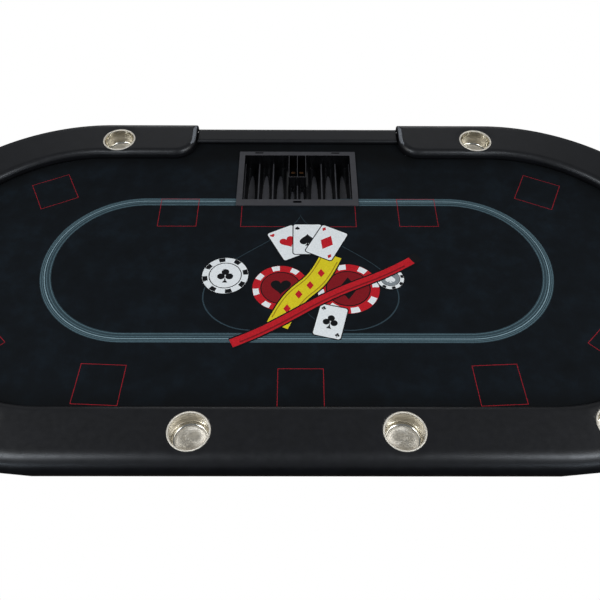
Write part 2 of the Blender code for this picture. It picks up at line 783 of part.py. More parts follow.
# ---------------------------------------------------------------- folding legs
class LegSide:
    """One leg set, built folded: along is the distance from its pivot towards the middle of the
    table. Its hinges then turn to stand it up."""

    def __init__(self, name, sign):
        self.name = name
        self.sign = sign
        brace_z = LEG_AXIS_Z + BRACE_LIFT
        self.leg = hinge(f"{name}_leg_axis", self.x(0), LEG_AXIS_Z)
        self.upper = hinge(f"{name}_upper_brace_axis", self.x(BRACE_DECK_PIVOT_AT), brace_z)
        self.lower = hinge(f"{name}_lower_brace_axis", self.x(BRACE_BAR_AT), brace_z, self.leg)

    def x(self, along):
        return self.sign * (LEG_PIVOT_X - along)

    def upright_plane(self, along, y, z):
        """A frame whose X is along the folded leg, whose Y is up and whose Z lies across."""
        along_x = -self.sign
        turn = Matrix(((along_x, 0, 0), (0, 0, -along_x), (0, 1, 0))).to_4x4()
        return Matrix.Translation((self.x(along), y, z)) @ turn

    def stand(self):
        self.leg.rotation_euler.y = math.radians(-90) * self.sign
        self.upper.rotation_euler.y = math.radians(BRACE_SLOPE) * self.sign
        self.lower.rotation_euler.y = math.radians(BRACE_SLOPE - 90) * self.sign


def steel_tube(name, radius, wall, length, matrix, segments=16):
    """A round tube along the matrix's Z, open at both ends."""
    outlines = [circle((0, 0), radius, segments), circle((0, 0), radius - wall, segments)]
    return shade_round(outline_plate(name, outlines, length, matrix, leg_paint()))


def make_leg_frame(side):
    across = Matrix.Rotation(math.radians(90), 4, "X")
    lengthways = Matrix.Rotation(math.radians(90), 4, "Y")
    name = side.name
    pivot = Matrix.Translation((side.x(0), 0, LEG_AXIS_Z)) @ across
    width = 2 * PIVOT_TUBE_HALF_LENGTH
    hang(steel_tube(f"{name}_pivot_tube", LEG_TUBE_RADIUS, LEG_TUBE_WALL, width, pivot), side.leg)
    start, end = LEG_TUBE_RADIUS + GAP, LEG_LENGTH - 0.010
    for side_name, y in (("near", -LEG_HALF_SPREAD), ("far", LEG_HALF_SPREAD)):
        middle = Matrix.Translation((side.x((start + end) / 2), y, LEG_AXIS_Z)) @ lengthways
        leg = f"{name}_{side_name}_leg_tube"
        hang(steel_tube(leg, LEG_TUBE_RADIUS, LEG_TUBE_WALL, end - start, middle), side.leg)
    reach = 2 * (LEG_HALF_SPREAD - LEG_TUBE_RADIUS - GAP)
    rail = Matrix.Translation((side.x(CROSS_RAIL_AT), 0, LEG_AXIS_Z)) @ across
    hang(steel_tube(f"{name}_cross_rail", 0.0095, LEG_TUBE_WALL, reach, rail, 12), side.leg)
    bar = Matrix.Translation((side.x(BRACE_BAR_AT), 0, LEG_AXIS_Z)) @ across
    brace_bar = steel_tube(f"{name}_brace_bar", BRACE_BAR_RADIUS, LEG_TUBE_WALL, reach, bar, 12)
    hang(brace_bar, side.leg)


def foot_profile():
    """A rubber cap over a tube's end, as (radius, distance from the leg's end), outside first."""
    inner = LEG_TUBE_RADIUS + GAP
    return [
        (0.0, 0.0),
        (FOOT_RADIUS - 0.003, 0.0),
        (FOOT_RADIUS, 0.003),
        (FOOT_RADIUS, 0.040),
        (inner, 0.040),
        (inner, 0.010 - GAP),
        (0.0, 0.010 - GAP),
    ]


def add_turned(bm, profile, centre, direction, segments=16):
    """A closed turned solid about a line along X. The profile starts and ends on the line."""
    cx, cy, cz = centre
    rings = []
    for radius, distance in profile:
        count = segments if radius else 1
        ring = []
        for i in range(count):
            angle = 2 * math.pi * i / segments
            y, z = cy + radius * math.cos(angle), cz + radius * math.sin(angle)
            ring.append(bm.verts.new((cx + direction * distance, y, z)))
        rings.append(ring)
    for first, second in zip(rings, rings[1:]):
        for i in range(segments):
            corners = [first[i % len(first)], first[(i + 1) % len(first)]]
            corners += [second[(i + 1) % len(second)], second[i % len(second)]]
            bm.faces.new(tuple(dict.fromkeys(corners)))


def make_feet(side):
    for place_name, y in (("near", -LEG_HALF_SPREAD), ("far", LEG_HALF_SPREAD)):
        bm = bmesh.new()
        add_turned(bm, foot_profile(), (side.x(LEG_LENGTH), y, LEG_AXIS_Z), side.sign)
        foot = keep(mesh_object(f"{side.name}_{place_name}_foot", bm), rubber())
        hang(foot, side.leg)


def saddle_outline():
    """A strap that hangs from the deck and passes under the pivot tube. X along, Y up."""
    hang = DECK_Z - GAP - LEG_AXIS_Z
    outer = LEG_TUBE_RADIUS + 0.0037
    inner = outer - SADDLE_THICKNESS
    shelf = hang - SADDLE_THICKNESS
    points = [(-0.040, hang), (-0.040, shelf), (-outer, shelf)]
    points += arc((0, 0), outer, 180, 360, 12)
    points += [(outer, shelf), (0.040, shelf), (0.040, hang), (inner, hang)]
    points += arc((0, 0), inner, 360, 180, 12)
    return points + [(-inner, hang)]


def make_saddles(side):
    for place_name, y in (("near", -SADDLE_Y), ("far", SADDLE_Y)):
        frame = side.upright_plane(0, y, LEG_AXIS_Z)
        name = f"{side.name}_{place_name}_saddle"
        outline_plate(name, [saddle_outline()], SADDLE_WIDTH, frame, zinc())


def link_outline(length):
    """A bar with round ends, from the knuckle at the origin along +X to its other pivot."""
    end = LINK_WIDTH / 2
    return arc((0, 0), end, 90, 270, 8) + arc((length, 0), end, -90, 90, 8)


def disc(name, matrix, radius, thickness, segments=12):
    """A short round boss about the matrix's Z, used to add rivet heads and pins."""
    bm = bmesh.new()
    bmesh.ops.create_cone(
        bm, cap_ends=True, segments=segments, radius1=radius, radius2=radius, depth=thickness, matrix=matrix
    )
    return cutter(name, bm)


def across_at(side, along, y, z):
    """The frame of a round boss whose axis lies across the table."""
    return Matrix.Translation((side.x(along), y, z)) @ Matrix.Rotation(math.radians(90), 4, "X")


def knuckle_stub(side, name, towards):
    """Half of the knuckle's rivet: its head outside the link and a washer on the inside."""
    outside = LINK_OFFSET + LINK_THICKNESS / 2 + 0.0020
    inside = GAP / 2
    middle = towards * (outside + inside) / 2
    frame = across_at(side, KNUCKLE_AT, middle, LEG_AXIS_Z + BRACE_LIFT)
    return disc(f"{side.name}_{name}_stub", frame, 0.0070, outside - inside)


def make_brace(side):
    """Two flat links, side by side. Each is hung on its own hinge; they meet at the knuckle."""
    name = side.name
    z = LEG_AXIS_Z + BRACE_LIFT
    frame = side.upright_plane(KNUCKLE_AT, LINK_OFFSET, z)
    deck_hole = circle((UPPER_LINK, 0), PIN_RADIUS + GAP, 12)
    outlines = [link_outline(UPPER_LINK), deck_hole]
    upper = outline_plate(f"{name}_upper_brace_link", outlines, LINK_THICKNESS, frame, leg_paint())
    combine(upper, knuckle_stub(side, "upper", 1), "UNION")
    hang(upper, side.upper)

    frame = side.upright_plane(KNUCKLE_AT, -LINK_OFFSET, z)
    tab_hole = circle((LOWER_LINK, 0), PIN_RADIUS + GAP, 12)
    outlines = [link_outline(LOWER_LINK), tab_hole]
    lower = outline_plate(f"{name}_lower_brace_link", outlines, LINK_THICKNESS, frame, leg_paint())
    combine(lower, knuckle_stub(side, "lower", -1), "UNION")
    hang(lower, side.lower)


def make_brace_bracket(side):
    """The bracket under the deck that holds the upper link between two ears."""
    name = side.name
    z = LEG_AXIS_Z + BRACE_LIFT
    plate_top = DECK_Z - GAP
    plate_low = plate_top - SADDLE_THICKNESS
    x = side.x(BRACE_DECK_PIVOT_AT)
    bm = bmesh.new()
    add_box(bm, (x - 0.014, -0.030, plate_low), (x + 0.014, 0.030, plate_top))
    bracket = keep(mesh_object(f"{name}_brace_bracket", bm), zinc())
    clear = LINK_THICKNESS / 2 + 0.0006
    ear = 0.003
    bm = bmesh.new()
    for inner in (LINK_OFFSET - clear - ear, LINK_OFFSET + clear):
        add_box(bm, (x - 0.010, inner, z - 0.009), (x + 0.010, inner + ear, plate_low + 0.001))
    combine(bracket, cutter(f"{name}_bracket_ears", bm), "UNION")
    frame = across_at(side, BRACE_DECK_PIVOT_AT, LINK_OFFSET, z)
    combine(bracket, disc(f"{name}_bracket_pin", frame, PIN_RADIUS, 0.0140), "UNION")


def clip_outline():
    """A spring clip open downwards, which grips a folded leg's tube. X along the table's width."""
    hang_from = DECK_Z - GAP - LEG_AXIS_Z
    inner = LEG_TUBE_RADIUS + 0.0012
    outer = inner + 0.0020
    return [
        (-outer, hang_from),
        (-outer, -0.004),
        (-outer - 0.004, -0.012),
        (-inner - 0.004, -0.012),
        (-inner, -0.004),
        (-inner, hang_from - 0.003),
        (inner, hang_from - 0.003),
        (inner, -0.004),
        (inner + 0.004, -0.012),
        (outer + 0.004, -0.012),
        (outer, -0.004),
        (outer, hang_from),
    ]


def make_leg_clips(side):
    across = Matrix(((0, 0, 1, 0), (1, 0, 0, 0), (0, 1, 0, 0), (0, 0, 0, 1)))
    for place_name, y in (("near", -LEG_HALF_SPREAD), ("far", LEG_HALF_SPREAD)):
        frame = Matrix.Translation((side.x(CLIP_AT), y, LEG_AXIS_Z)) @ across
        name = f"{side.name}_{place_name}_clip"
        outline_plate(name, [clip_outline()], CLIP_WIDTH, frame, zinc())


def make_brace_tab(side):
    """The tab round the brace bar that carries the lower link's pin."""
    name = side.name
    ring = BRACE_BAR_RADIUS + 0.0025
    outline = arc((0, 0), ring, 180, 360, 10) + arc((0, BRACE_LIFT), ring, 0, 180, 10)
    bar_hole = circle((0, 0), BRACE_BAR_RADIUS + GAP, 12)
    tab_y = -LINK_OFFSET - LINK_THICKNESS / 2 - 0.0022
    frame = side.upright_plane(BRACE_BAR_AT, tab_y, LEG_AXIS_Z)
    tab = outline_plate(f"{name}_brace_tab", [outline, bar_hole], 0.0030, frame, leg_paint())
    pin_y = -LINK_OFFSET - 0.0008
    pin = across_at(side, BRACE_BAR_AT, pin_y, LEG_AXIS_Z + BRACE_LIFT)
    combine(tab, disc(f"{name}_tab_pin", pin, PIN_RADIUS, 0.0060), "UNION")
    hang(tab, side.leg)


def make_legs():
    for side in (LegSide("left", -1), LegSide("right", 1)):
        make_leg_frame(side)
        make_feet(side)
        make_saddles(side)
        make_brace(side)
        make_brace_bracket(side)
        make_brace_tab(side)
        make_leg_clips(side)
        side.stand()


def main():
    start_scene()
    make_deck()
    make_playing_surface()
    make_rail()
    make_rail_cover()
    make_dealer_rail()
    make_cups()
    make_tray()
    make_tray_cradle()
    make_legs()


main()
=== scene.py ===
"""The looks of the folding poker table: vinyl rail, printed speed cloth, steel cups, moulded chip
tray and folding steel legs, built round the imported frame. Blender 4.5, metres, +Z up."""

import math

import bmesh
import bpy
from mathutils import Matrix, Vector


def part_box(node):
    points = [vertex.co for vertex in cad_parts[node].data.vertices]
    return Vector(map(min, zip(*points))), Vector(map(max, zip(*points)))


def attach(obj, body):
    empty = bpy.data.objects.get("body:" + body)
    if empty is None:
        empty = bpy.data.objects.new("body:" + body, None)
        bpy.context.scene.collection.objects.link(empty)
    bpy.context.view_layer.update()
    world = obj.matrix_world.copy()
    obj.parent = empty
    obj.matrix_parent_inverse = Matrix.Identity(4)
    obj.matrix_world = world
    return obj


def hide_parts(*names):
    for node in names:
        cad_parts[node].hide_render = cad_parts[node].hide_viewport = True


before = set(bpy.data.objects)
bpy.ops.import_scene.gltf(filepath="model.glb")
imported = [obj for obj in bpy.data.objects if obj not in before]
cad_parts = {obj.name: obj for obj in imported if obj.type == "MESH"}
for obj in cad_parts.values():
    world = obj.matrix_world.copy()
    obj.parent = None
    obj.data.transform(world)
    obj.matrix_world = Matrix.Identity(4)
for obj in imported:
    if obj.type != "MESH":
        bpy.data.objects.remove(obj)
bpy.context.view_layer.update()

# ---------------------------------------------------------------- sizes, from the frame where it has them
TOP = "table_top"
CLOTH_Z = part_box("speed_cloth")[1][2]
RAIL_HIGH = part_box("rail_cover")[1]
OUTER = RAIL_HIGH[1]
SPINE = RAIL_HIGH[0] - OUTER
RAIL_TOP = RAIL_HIGH[2]
DECK_LOW, DECK_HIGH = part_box("deck_panel")
INNER = OUTER - 0.1572  # a little inside the frame's own lip, which is in facets
DEALER_LOW, DEALER_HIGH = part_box("dealer_rail_cover")
TRAY_LOW, TRAY_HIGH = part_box("chip_tray")
BAY_X = DEALER_HIGH[0] + 0.0035  # where the padded rail's end faces stand
CORNER_R = 0.065
CORNER = (BAY_X + CORNER_R, INNER + CORNER_R)
INNER_ROUND = 0.018
OUTER_ROUND = 0.040
CUP_RIM = 0.0515
CUP_BODY = 0.0470
CUPS = [f"cup_holder_{number:02d}" for number in range(1, 11)]
VINYL_THICKNESS = 0.0010
CLOTH_THICKNESS = 0.0009
LIFT = 0.0003  # what keeps a skin's edge clear of the face below it
UP = Vector((0, 0, 1))


def middle(node):
    """The middle of a node's box."""
    low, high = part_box(node)
    return Vector([(a + b) / 2 for a, b in zip(low, high)])


# ---------------------------------------------------------------- materials
def srgb(hex_colour):
    """An sRGB hex colour as the linear colour that the shader wants."""
    parts = [int(hex_colour[i : i + 2], 16) / 255 for i in (1, 3, 5)]
    linear = [p / 12.92 if p <= 0.04045 else ((p + 0.055) / 1.055) ** 2.4 for p in parts]
    return (*linear, 1.0)


def feed(tree, node, inputs):
    """Sets a node's inputs or joins them to a source; a node as a source means its first output."""
    for socket, source in inputs.items():
        if isinstance(source, bpy.types.Node):
            source = source.outputs[0]
        if isinstance(source, bpy.types.NodeSocket):
            tree.links.new(source, node.inputs[socket])
        else:
            node.inputs[socket].default_value = source


def add(tree, kind, inputs=None, stops=(), **settings):
    """Adds a node with its inputs and settings, and a colour ramp's stops as (place, colour)."""
    node = tree.nodes.new("ShaderNode" + kind)
    for key, value in settings.items():
        setattr(node, key, value)
    if stops:
        for _ in stops[2:]:
            node.color_ramp.elements.new(0.5)
        for element, (position, colour) in zip(node.color_ramp.elements, stops):
            element.position = position
            element.color = srgb(colour)
    feed(tree, node, inputs or {})
    return node


def blotches(size_mm):
    """A noise or cell texture's scale for blotches or cells this size."""
    return 1000.0 / size_mm


def stripes(spacing_mm):
    """A wave texture's scale for bands this far apart."""
    return math.pi / 10 * 1000 / spacing_mm


def new_material(name, colour, roughness, metallic=0.0):
    """A plain material, with its tree, its shader and the object's own coordinates in metres."""
    made = bpy.data.materials.new(name)
    made.use_nodes = True
    tree = made.node_tree
    shader = tree.nodes["Principled BSDF"]
    feed(tree, shader, {"Base Color": srgb(colour), "Roughness": roughness, "Metallic": metallic})
    return made, tree, shader, add(tree, "TexCoord").outputs["Object"]


def upholstery_vinyl():
    """PVC leathercloth, embossed: a fine pebble grain that breaks up a satin sheen."""
    made, tree, shader, place = new_material("upholstery_vinyl", "#0C0C0E", 0.36)
    swell = add(tree, "TexNoise", {"Vector": place, "Scale": blotches(60), "Detail": 2.0})
    soft = add(tree, "Bump", {"Height": swell, "Distance": 0.0009, "Strength": 0.35})
    pebble = add(tree, "TexVoronoi", {"Vector": place, "Scale": blotches(1.613)}, feature="SMOOTH_F1")
    grain = add(tree, "Bump", {"Height": pebble, "Distance": 0.0001, "Strength": 0.35, "Normal": soft})
    cloud = add(tree, "TexNoise", {"Vector": place, "Scale": blotches(40), "Detail": 3.0})
    shade = add(tree, "ValToRGB", {"Fac": cloud}, [(0.3, "#0A0A0C"), (0.7, "#0F0F12")])
    patch = add(tree, "TexNoise", {"Vector": place, "Scale": blotches(15), "Detail": 3.0})
    gloss = add(tree, "MapRange", {"Value": patch, "To Min": 0.30, "To Max": 0.46})
    feed(tree, shader, {"Base Color": shade, "Roughness": gloss, "Normal": grain, "IOR": 1.52})
    return made


def weave(tree, place):
    """Speed cloth's tight weave over its nap; its 0.3 mm threads are drawn 1.1 mm apart to show."""
    ways = []
    for way in "XY":
        inputs = {"Vector": place, "Scale": stripes(1.083), "Distortion": 0.6}
        ways.append(add(tree, "TexWave", inputs, bands_direction=way).outputs["Fac"])
    threads = add(tree, "Math", {0: ways[0], 1: ways[1]}, operation="MULTIPLY")
    fluff = {"Vector": place, "Scale": blotches(9), "Detail": 6.0, "Roughness": 0.7}
    nap = add(tree, "Bump", {"Height": add(tree, "TexNoise", fluff), "Distance": 0.00025, "Strength": 0.5})
    return add(tree, "Bump", {"Height": threads, "Distance": 0.00012, "Strength": 0.4, "Normal": nap})


def painted_rail_shade(tree, place):
    """White over the open cloth, darker in the last 60 mm by the rail, as painted shade from the rail."""
    parts = add(tree, "SeparateXYZ", {"Vector": place})
    side = add(tree, "Math", {0: parts.outputs["X"]}, operation="ABSOLUTE")
    past = add(tree, "Math", {0: side, 1: SPINE}, operation="SUBTRACT")
    out = add(tree, "Math", {0: past, 1: 0.0}, operation="MAXIMUM")
    flat = add(tree, "CombineXYZ", {"X": out, "Y": parts.outputs["Y"]})
    away = add(tree, "VectorMath", {0: flat}, operation="LENGTH").outputs["Value"]
    fade = {"Value": away, "From Min": INNER - 0.060, "From Max": INNER, "To Min": 1.0, "To Max": 0.30}
    return add(tree, "MapRange", fade)


def speed_cloth():
    """Coated polyester speed cloth: near-black navy with a blotchy nap and a few pale fibres; painted
    shade darkens it near the rail.
    """
    made, tree, shader, place = new_material("speed_cloth_navy", "#0C141B", 0.9)
    blotch = {"Vector": place, "Scale": blotches(70), "Detail": 6.0, "Roughness": 0.65}
    cloud = add(tree, "TexNoise", blotch)
    shade = add(tree, "ValToRGB", {"Fac": cloud}, [(0.28, "#04080C"), (0.5, "#090F14"), (0.76, "#111A21")])
    speck = add(tree, "TexVoronoi", {"Vector": place, "Scale": blotches(5.882)})
    lint = add(tree, "ValToRGB", {"Fac": speck}, [(0.0, "#FFFFFF"), (0.045, "#000000")])
    patch = add(tree, "TexNoise", {"Vector": place, "Scale": blotches(12), "Detail": 3.0})
    rare = add(tree, "ValToRGB", {"Fac": patch}, [(0.60, "#000000"), (0.68, "#FFFFFF")])
    few = add(tree, "MixRGB", {0: 1.0, 1: lint, 2: rare}, blend_type="MULTIPLY")
    pale = add(tree, "MixRGB", {0: few, 1: shade, 2: srgb("#39444D")})
    # painted shade: the cloth's colour darkens towards the rail
    edge = add(tree, "MixRGB", {0: 1.0, 1: pale, 2: painted_rail_shade(tree, place)}, blend_type="MULTIPLY")
    gloss = add(tree, "MapRange", {"Value": cloud, "To Min": 0.72, "To Max": 0.92})
    feed(tree, shader, {"Base Color": edge, "Roughness": gloss, "Normal": weave(tree, place)})
    feed(tree, shader, {"Specular IOR Level": 0.15})
    return made


def dye_print(name, dark, light):
    """Sublimation print: dye in the same cloth, slightly uneven where the weave shows."""
    made, tree, shader, place = new_material(name, dark, 0.85)
    uneven = add(tree, "TexNoise", {"Vector": place, "Scale": blotches(4), "Detail": 4.0})
    shade = add(tree, "ValToRGB", {"Fac": uneven}, [(0.3, dark), (0.7, light)])
    feed(tree, shader, {"Base Color": shade, "Normal": weave(tree, place), "Specular IOR Level": 0.2})
    return made


def moulded_abs():
    """Injection-moulded ABS: charcoal, a fine spark-eroded texture, satin."""
    made, tree, shader, place = new_material("moulded_abs", "#3B3A3D", 0.46)
    cloud = add(tree, "TexNoise", {"Vector": place, "Scale": blotches(25), "Detail": 3.0})
    shade = add(tree, "ValToRGB", {"Fac": cloud}, [(0.3, "#373639"), (0.7, "#3F3E41")])
    patch = add(tree, "TexNoise", {"Vector": place, "Scale": blotches(8), "Detail": 3.0})
    gloss = add(tree, "MapRange", {"Value": patch, "To Min": 0.42, "To Max": 0.52})
    spark = add(tree, "TexNoise", {"Vector": place, "Scale": blotches(0.7), "Detail": 2.0})
    relief = add(tree, "Bump", {"Height": spark, "Distance": 0.00003, "Strength": 0.5})
    feed(tree, shader, {"Base Color": shade, "Roughness": gloss, "Normal": relief})
    return made


def shaded_glossy_abs():
    """The same ABS moulded against polished steel inside the tubes, so shiny; its near-black colour is
    painted shade on the tube walls and floors.
    """
    made, tree, shader, place = new_material("moulded_abs_polished_painted_shade", "#08080A", 0.22)
    cloud = add(tree, "TexNoise", {"Vector": place, "Scale": blotches(20), "Detail": 3.0})
    shade = add(tree, "ValToRGB", {"Fac": cloud}, [(0.3, "#060607"), (0.7, "#0B0B0D")])
    patch = add(tree, "TexNoise", {"Vector": place, "Scale": blotches(6), "Detail": 3.0})
    gloss = add(tree, "MapRange", {"Value": patch, "To Min": 0.18, "To Max": 0.30})
    feed(tree, shader, {"Base Color": shade, "Roughness": gloss})
    return made


def slot_shadow():
    """The unlit inside of the flange's slots: the same ABS with no light on it."""
    made, tree, shader, place = new_material("slot_shadow", "#050506", 0.9)
    depth = add(tree, "TexNoise", {"Vector": place, "Scale": blotches(3), "Detail": 3.0})
    shade = add(tree, "ValToRGB", {"Fac": depth}, [(0.3, "#040405"), (0.7, "#08080A")])
    feed(tree, shader, {"Base Color": shade, "Specular IOR Level": 0.0})
    return made


def polished_steel():
    """Deep-drawn stainless steel: bright drawn walls with faint vertical streaks."""
    made, tree, shader, place = new_material("polished_stainless", "#D9D4C8", 0.14, 1.0)
    drawn = add(tree, "Mapping", {"Vector": place, "Scale": (1.0, 1.0, 0.06)})
    streak = add(tree, "TexNoise", {"Vector": drawn, "Scale": blotches(2), "Detail": 4.0})
    gloss = add(tree, "MapRange", {"Value": streak, "To Min": 0.10, "To Max": 0.24})
    relief = add(tree, "Bump", {"Height": streak, "Distance": 0.00003, "Strength": 0.5})
    feed(tree, shader, {"Roughness": gloss, "Normal": relief})
    return made


def spun_steel():
    """Stainless steel brushed on a turntable: fine concentric rings that fan the light and scatter
    part of it, so it isn't all mirror."""
    made, tree, shader, place = new_material("spun_stainless", "#F0E7D8", 0.50, 0.75)
    around = add(tree, "Tangent", direction_type="RADIAL", axis="Z")
    spun = {"Vector": place, "Scale": stripes(0.748), "Distortion": 1.5}
    rings = add(tree, "TexWave", spun, wave_type="RINGS", rings_direction="Z").outputs["Fac"]
    gloss = add(tree, "MapRange", {"Value": rings, "To Min": 0.46, "To Max": 0.62})
    relief = add(tree, "Bump", {"Height": rings, "Distance": 0.00005, "Strength": 0.5})
    feed(tree, shader, {"Anisotropic": 0.8, "Tangent": around, "Roughness": gloss, "Normal": relief})
    return made


def powder_coat():
    """Polyester powder coat on steel: black, with a fine orange peel."""
    made, tree, shader, place = new_material("black_powder_coat_finish", "#17171A", 0.42)
    cloud = add(tree, "TexNoise", {"Vector": place, "Scale": blotches(30), "Detail": 3.0})
    shade = add(tree, "ValToRGB", {"Fac": cloud}, [(0.3, "#141416"), (0.7, "#1C1C20")])
    patch = add(tree, "TexNoise", {"Vector": place, "Scale": blotches(20), "Detail": 3.0})
    gloss = add(tree, "MapRange", {"Value": patch, "To Min": 0.36, "To Max": 0.50})
    peel = add(tree, "TexNoise", {"Vector": place, "Scale": blotches(1.6), "Detail": 2.0})
    relief = add(tree, "Bump", {"Height": peel, "Distance": 0.000012, "Strength": 0.4})
    feed(tree, shader, {"Base Color": shade, "Roughness": gloss, "Normal": relief})
    return made


def zinc():
    """Bright zinc plate on pressed steel: bluish, with clouded passivation."""
    made, tree, shader, place = new_material("bright_zinc", "#B4B9C0", 0.32, 1.0)
    cloud = add(tree, "TexNoise", {"Vector": place, "Scale": blotches(8), "Detail": 5.0})
    shade = add(tree, "ValToRGB", {"Fac": cloud}, [(0.3, "#A2A8B0"), (0.7, "#C8CBCF")])
    gloss = add(tree, "MapRange", {"Value": cloud, "To Min": 0.25, "To Max": 0.45})
    crystals = add(tree, "TexNoise", {"Vector": place, "Scale": blotches(0.8), "Detail": 3.0})
    relief = add(tree, "Bump", {"Height": crystals, "Distance": 0.00002, "Strength": 0.4})
    feed(tree, shader, {"Base Color": shade, "Roughness": gloss, "Normal": relief})
    return made


def plywood(name, dark, light, roughness):
    """Rotary-cut birch ply: long grain along X, with thin veneer lines at its edges."""
    made, tree, shader, place = new_material(name, dark, roughness)
    long = add(tree, "Mapping", {"Vector": place, "Scale": (0.06, 1.0, 1.0)})
    grain_inputs = {"Vector": long, "Scale": blotches(9), "Detail": 6.0, "Roughness": 0.6}
    grain = add(tree, "TexNoise", grain_inputs)
    plies = add(tree, "TexWave", {"Vector": place, "Scale": stripes(1.6535)}, bands_direction="Z")
    both = add(tree, "MixRGB", {0: 0.25, 1: grain, 2: plies.outputs["Fac"]})
    shade = add(tree, "ValToRGB", {"Fac": both}, [(0.3, dark), (0.7, light)])
    gloss = {"Value": grain, "To Min": roughness - 0.08, "To Max": roughness + 0.1}
    relief = add(tree, "Bump", {"Height": grain, "Distance": 0.00015, "Strength": 0.4})
    feed(tree, shader, {"Base Color": shade, "Roughness": add(tree, "MapRange", gloss), "Normal": relief})
    return made


def fibreboard():
    """MDF: compressed wood fibre, even and matt, with a fine fleck."""
    made, tree, shader, place = new_material("bare_mdf", "#8A6A48", 0.75)
    fibres = {"Vector": place, "Scale": blotches(1.5), "Detail": 4.0, "Roughness": 0.8}
    fleck = add(tree, "TexNoise", fibres)
    shade = add(tree, "ValToRGB", {"Fac": fleck}, [(0.3, "#7C5D3D"), (0.7, "#987855")])
    relief = add(tree, "Bump", {"Height": fleck, "Distance": 0.00005, "Strength": 0.3})
    feed(tree, shader, {"Base Color": shade, "Normal": relief})
    return made


def polyether_foam():
    """Upholstery foam: grey open cells."""
    made, tree, shader, place = new_material("upholstery_foam", "#6E7074", 0.95)
    cells = add(tree, "TexVoronoi", {"Vector": place, "Scale": blotches(2.222)})
    shade = add(tree, "ValToRGB", {"Fac": cells}, [(0.1, "#4A4C50"), (0.6, "#7C7E82")])
    relief = add(tree, "Bump", {"Height": cells, "Distance": 0.0004, "Strength": 0.6})
    feed(tree, shader, {"Base Color": shade, "Normal": relief})
    return made


def moulded_rubber():
    """Black moulded rubber: dull, faintly dusty."""
    made, tree, shader, place = new_material("moulded_rubber", "#1B1B1B", 0.8)
    dust = add(tree, "TexNoise", {"Vector": place, "Scale": blotches(14), "Detail": 5.0})
    shade = add(tree, "ValToRGB", {"Fac": dust}, [(0.4, "#161616"), (0.75, "#2A2928")])
    skin = add(tree, "TexNoise", {"Vector": place, "Scale": blotches(1.0), "Detail": 3.0})
    relief = add(tree, "Bump", {"Height": skin, "Distance": 0.00005, "Strength": 0.4})
    feed(tree, shader, {"Base Color": shade, "Normal": relief})
    return made


VINYL = upholstery_vinyl()
CLOTH = speed_cloth()
ABS = moulded_abs()
SHADED_GLOSSY_ABS = shaded_glossy_abs()
SHADOW = slot_shadow()
POLISHED = polished_steel()
SPUN = spun_steel()
COATED = powder_coat()
ZINC = zinc()
STAINED_PLY = plywood("black_stained_ply", "#17110E", "#251B16", 0.55)
RAW_PLY = plywood("raw_birch_ply", "#E09656", "#FFC088", 0.7)
MDF = fibreboard()
FOAM = polyether_foam()
RUBBER = moulded_rubber()


# ---------------------------------------------------------------- making pieces
def make_piece(name, bm, finish, body, smooth=35.0, skin=0.0, replaces=None, place=(0, 0, 0)):
    """A mesh piece that rides on a body, with one or more materials. An open surface is given the
    skin's thickness, inwards."""
    bmesh.ops.recalc_face_normals(bm, faces=bm.faces)
    if skin and sum(face.normal.z * face.calc_area() for face in bm.faces) < 0:
        bmesh.ops.reverse_faces(bm, faces=bm.faces)
    mesh = bpy.data.meshes.new(name)
    bm.to_mesh(mesh)
    bm.free()
    for material in finish:
        mesh.materials.append(material)
    if smooth:
        mesh.shade_smooth()
        mesh.set_sharp_from_angle(angle=math.radians(smooth))
    obj = bpy.data.objects.new(name, mesh)
    bpy.context.scene.collection.objects.link(obj)
    obj.location = place
    bpy.context.view_layer.update()
    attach(obj, body)
    if replaces:
        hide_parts(replaces)
    if skin:
        thickness = obj.modifiers.new("skin", "SOLIDIFY")
        thickness.thickness = skin
        thickness.offset = -1.0
    return obj


def paint(node, material):
    """Gives its finish to a node whose shape is kept."""
    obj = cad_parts[node]
    obj.data.materials.clear()
    obj.data.materials.append(material)


def grid_faces(bm, rows, closed_rows=False, closed_columns=False):
    """Quads between rows of vertices."""
    pairs = list(zip(rows, rows[1:])) + ([(rows[-1], rows[0])] if closed_rows else [])
    for row, following in pairs:
        count = len(row)
        for i in range(count if closed_columns else count - 1):
            j = (i + 1) % count
            corners = tuple(dict.fromkeys((row[i], row[j], following[j], following[i])))
            if len(corners) > 2:
                bm.faces.new(corners)


def turned(bm, profile, centre=(0, 0, 0), direction=UP, segments=64):
    """A surface turned about a line. The profile is (radius, distance along the line)."""
    turn = direction.normalized().to_track_quat("Z", "Y").to_matrix()
    rows = []
    for radius, distance in profile:
        if radius < 1e-6:
            rows.append([bm.verts.new(Vector(centre) + turn @ Vector((0, 0, distance)))] * segments)
            continue
        row = []
        for i in range(segments):
            angle = 2 * math.pi * i / segments
            point = Vector((radius * math.cos(angle), radius * math.sin(angle), distance))
            row.append(bm.verts.new(Vector(centre) + turn @ point))
        rows.append(row)
    grid_faces(bm, rows, closed_columns=True)


def arc(centre, radius, start, end, steps):
    """Points round part of a circle, from one angle to another, both included."""
    angles = [math.radians(start + (end - start) * i / steps) for i in range(steps + 1)]
    return [(centre[0] + radius * math.cos(a), centre[1] + radius * math.sin(a)) for a in angles]


def steps_between(start, end, step):
    """Values a step or so apart, both ends included."""
    count = max(1, round(abs(end - start) / step))
    return [start + (end - start) * i / count for i in range(count + 1)]


# ---------------------------------------------------------------- the padded rail
CUP_PLACES = [middle(node) for node in CUPS]


def round_over(distance, radius):
    """How far below the top a rounded edge lies, at a distance in from the edge."""
    if distance >= radius:
        return 0.0
    return radius - math.sqrt(max(0.0, radius**2 - (radius - distance) ** 2))


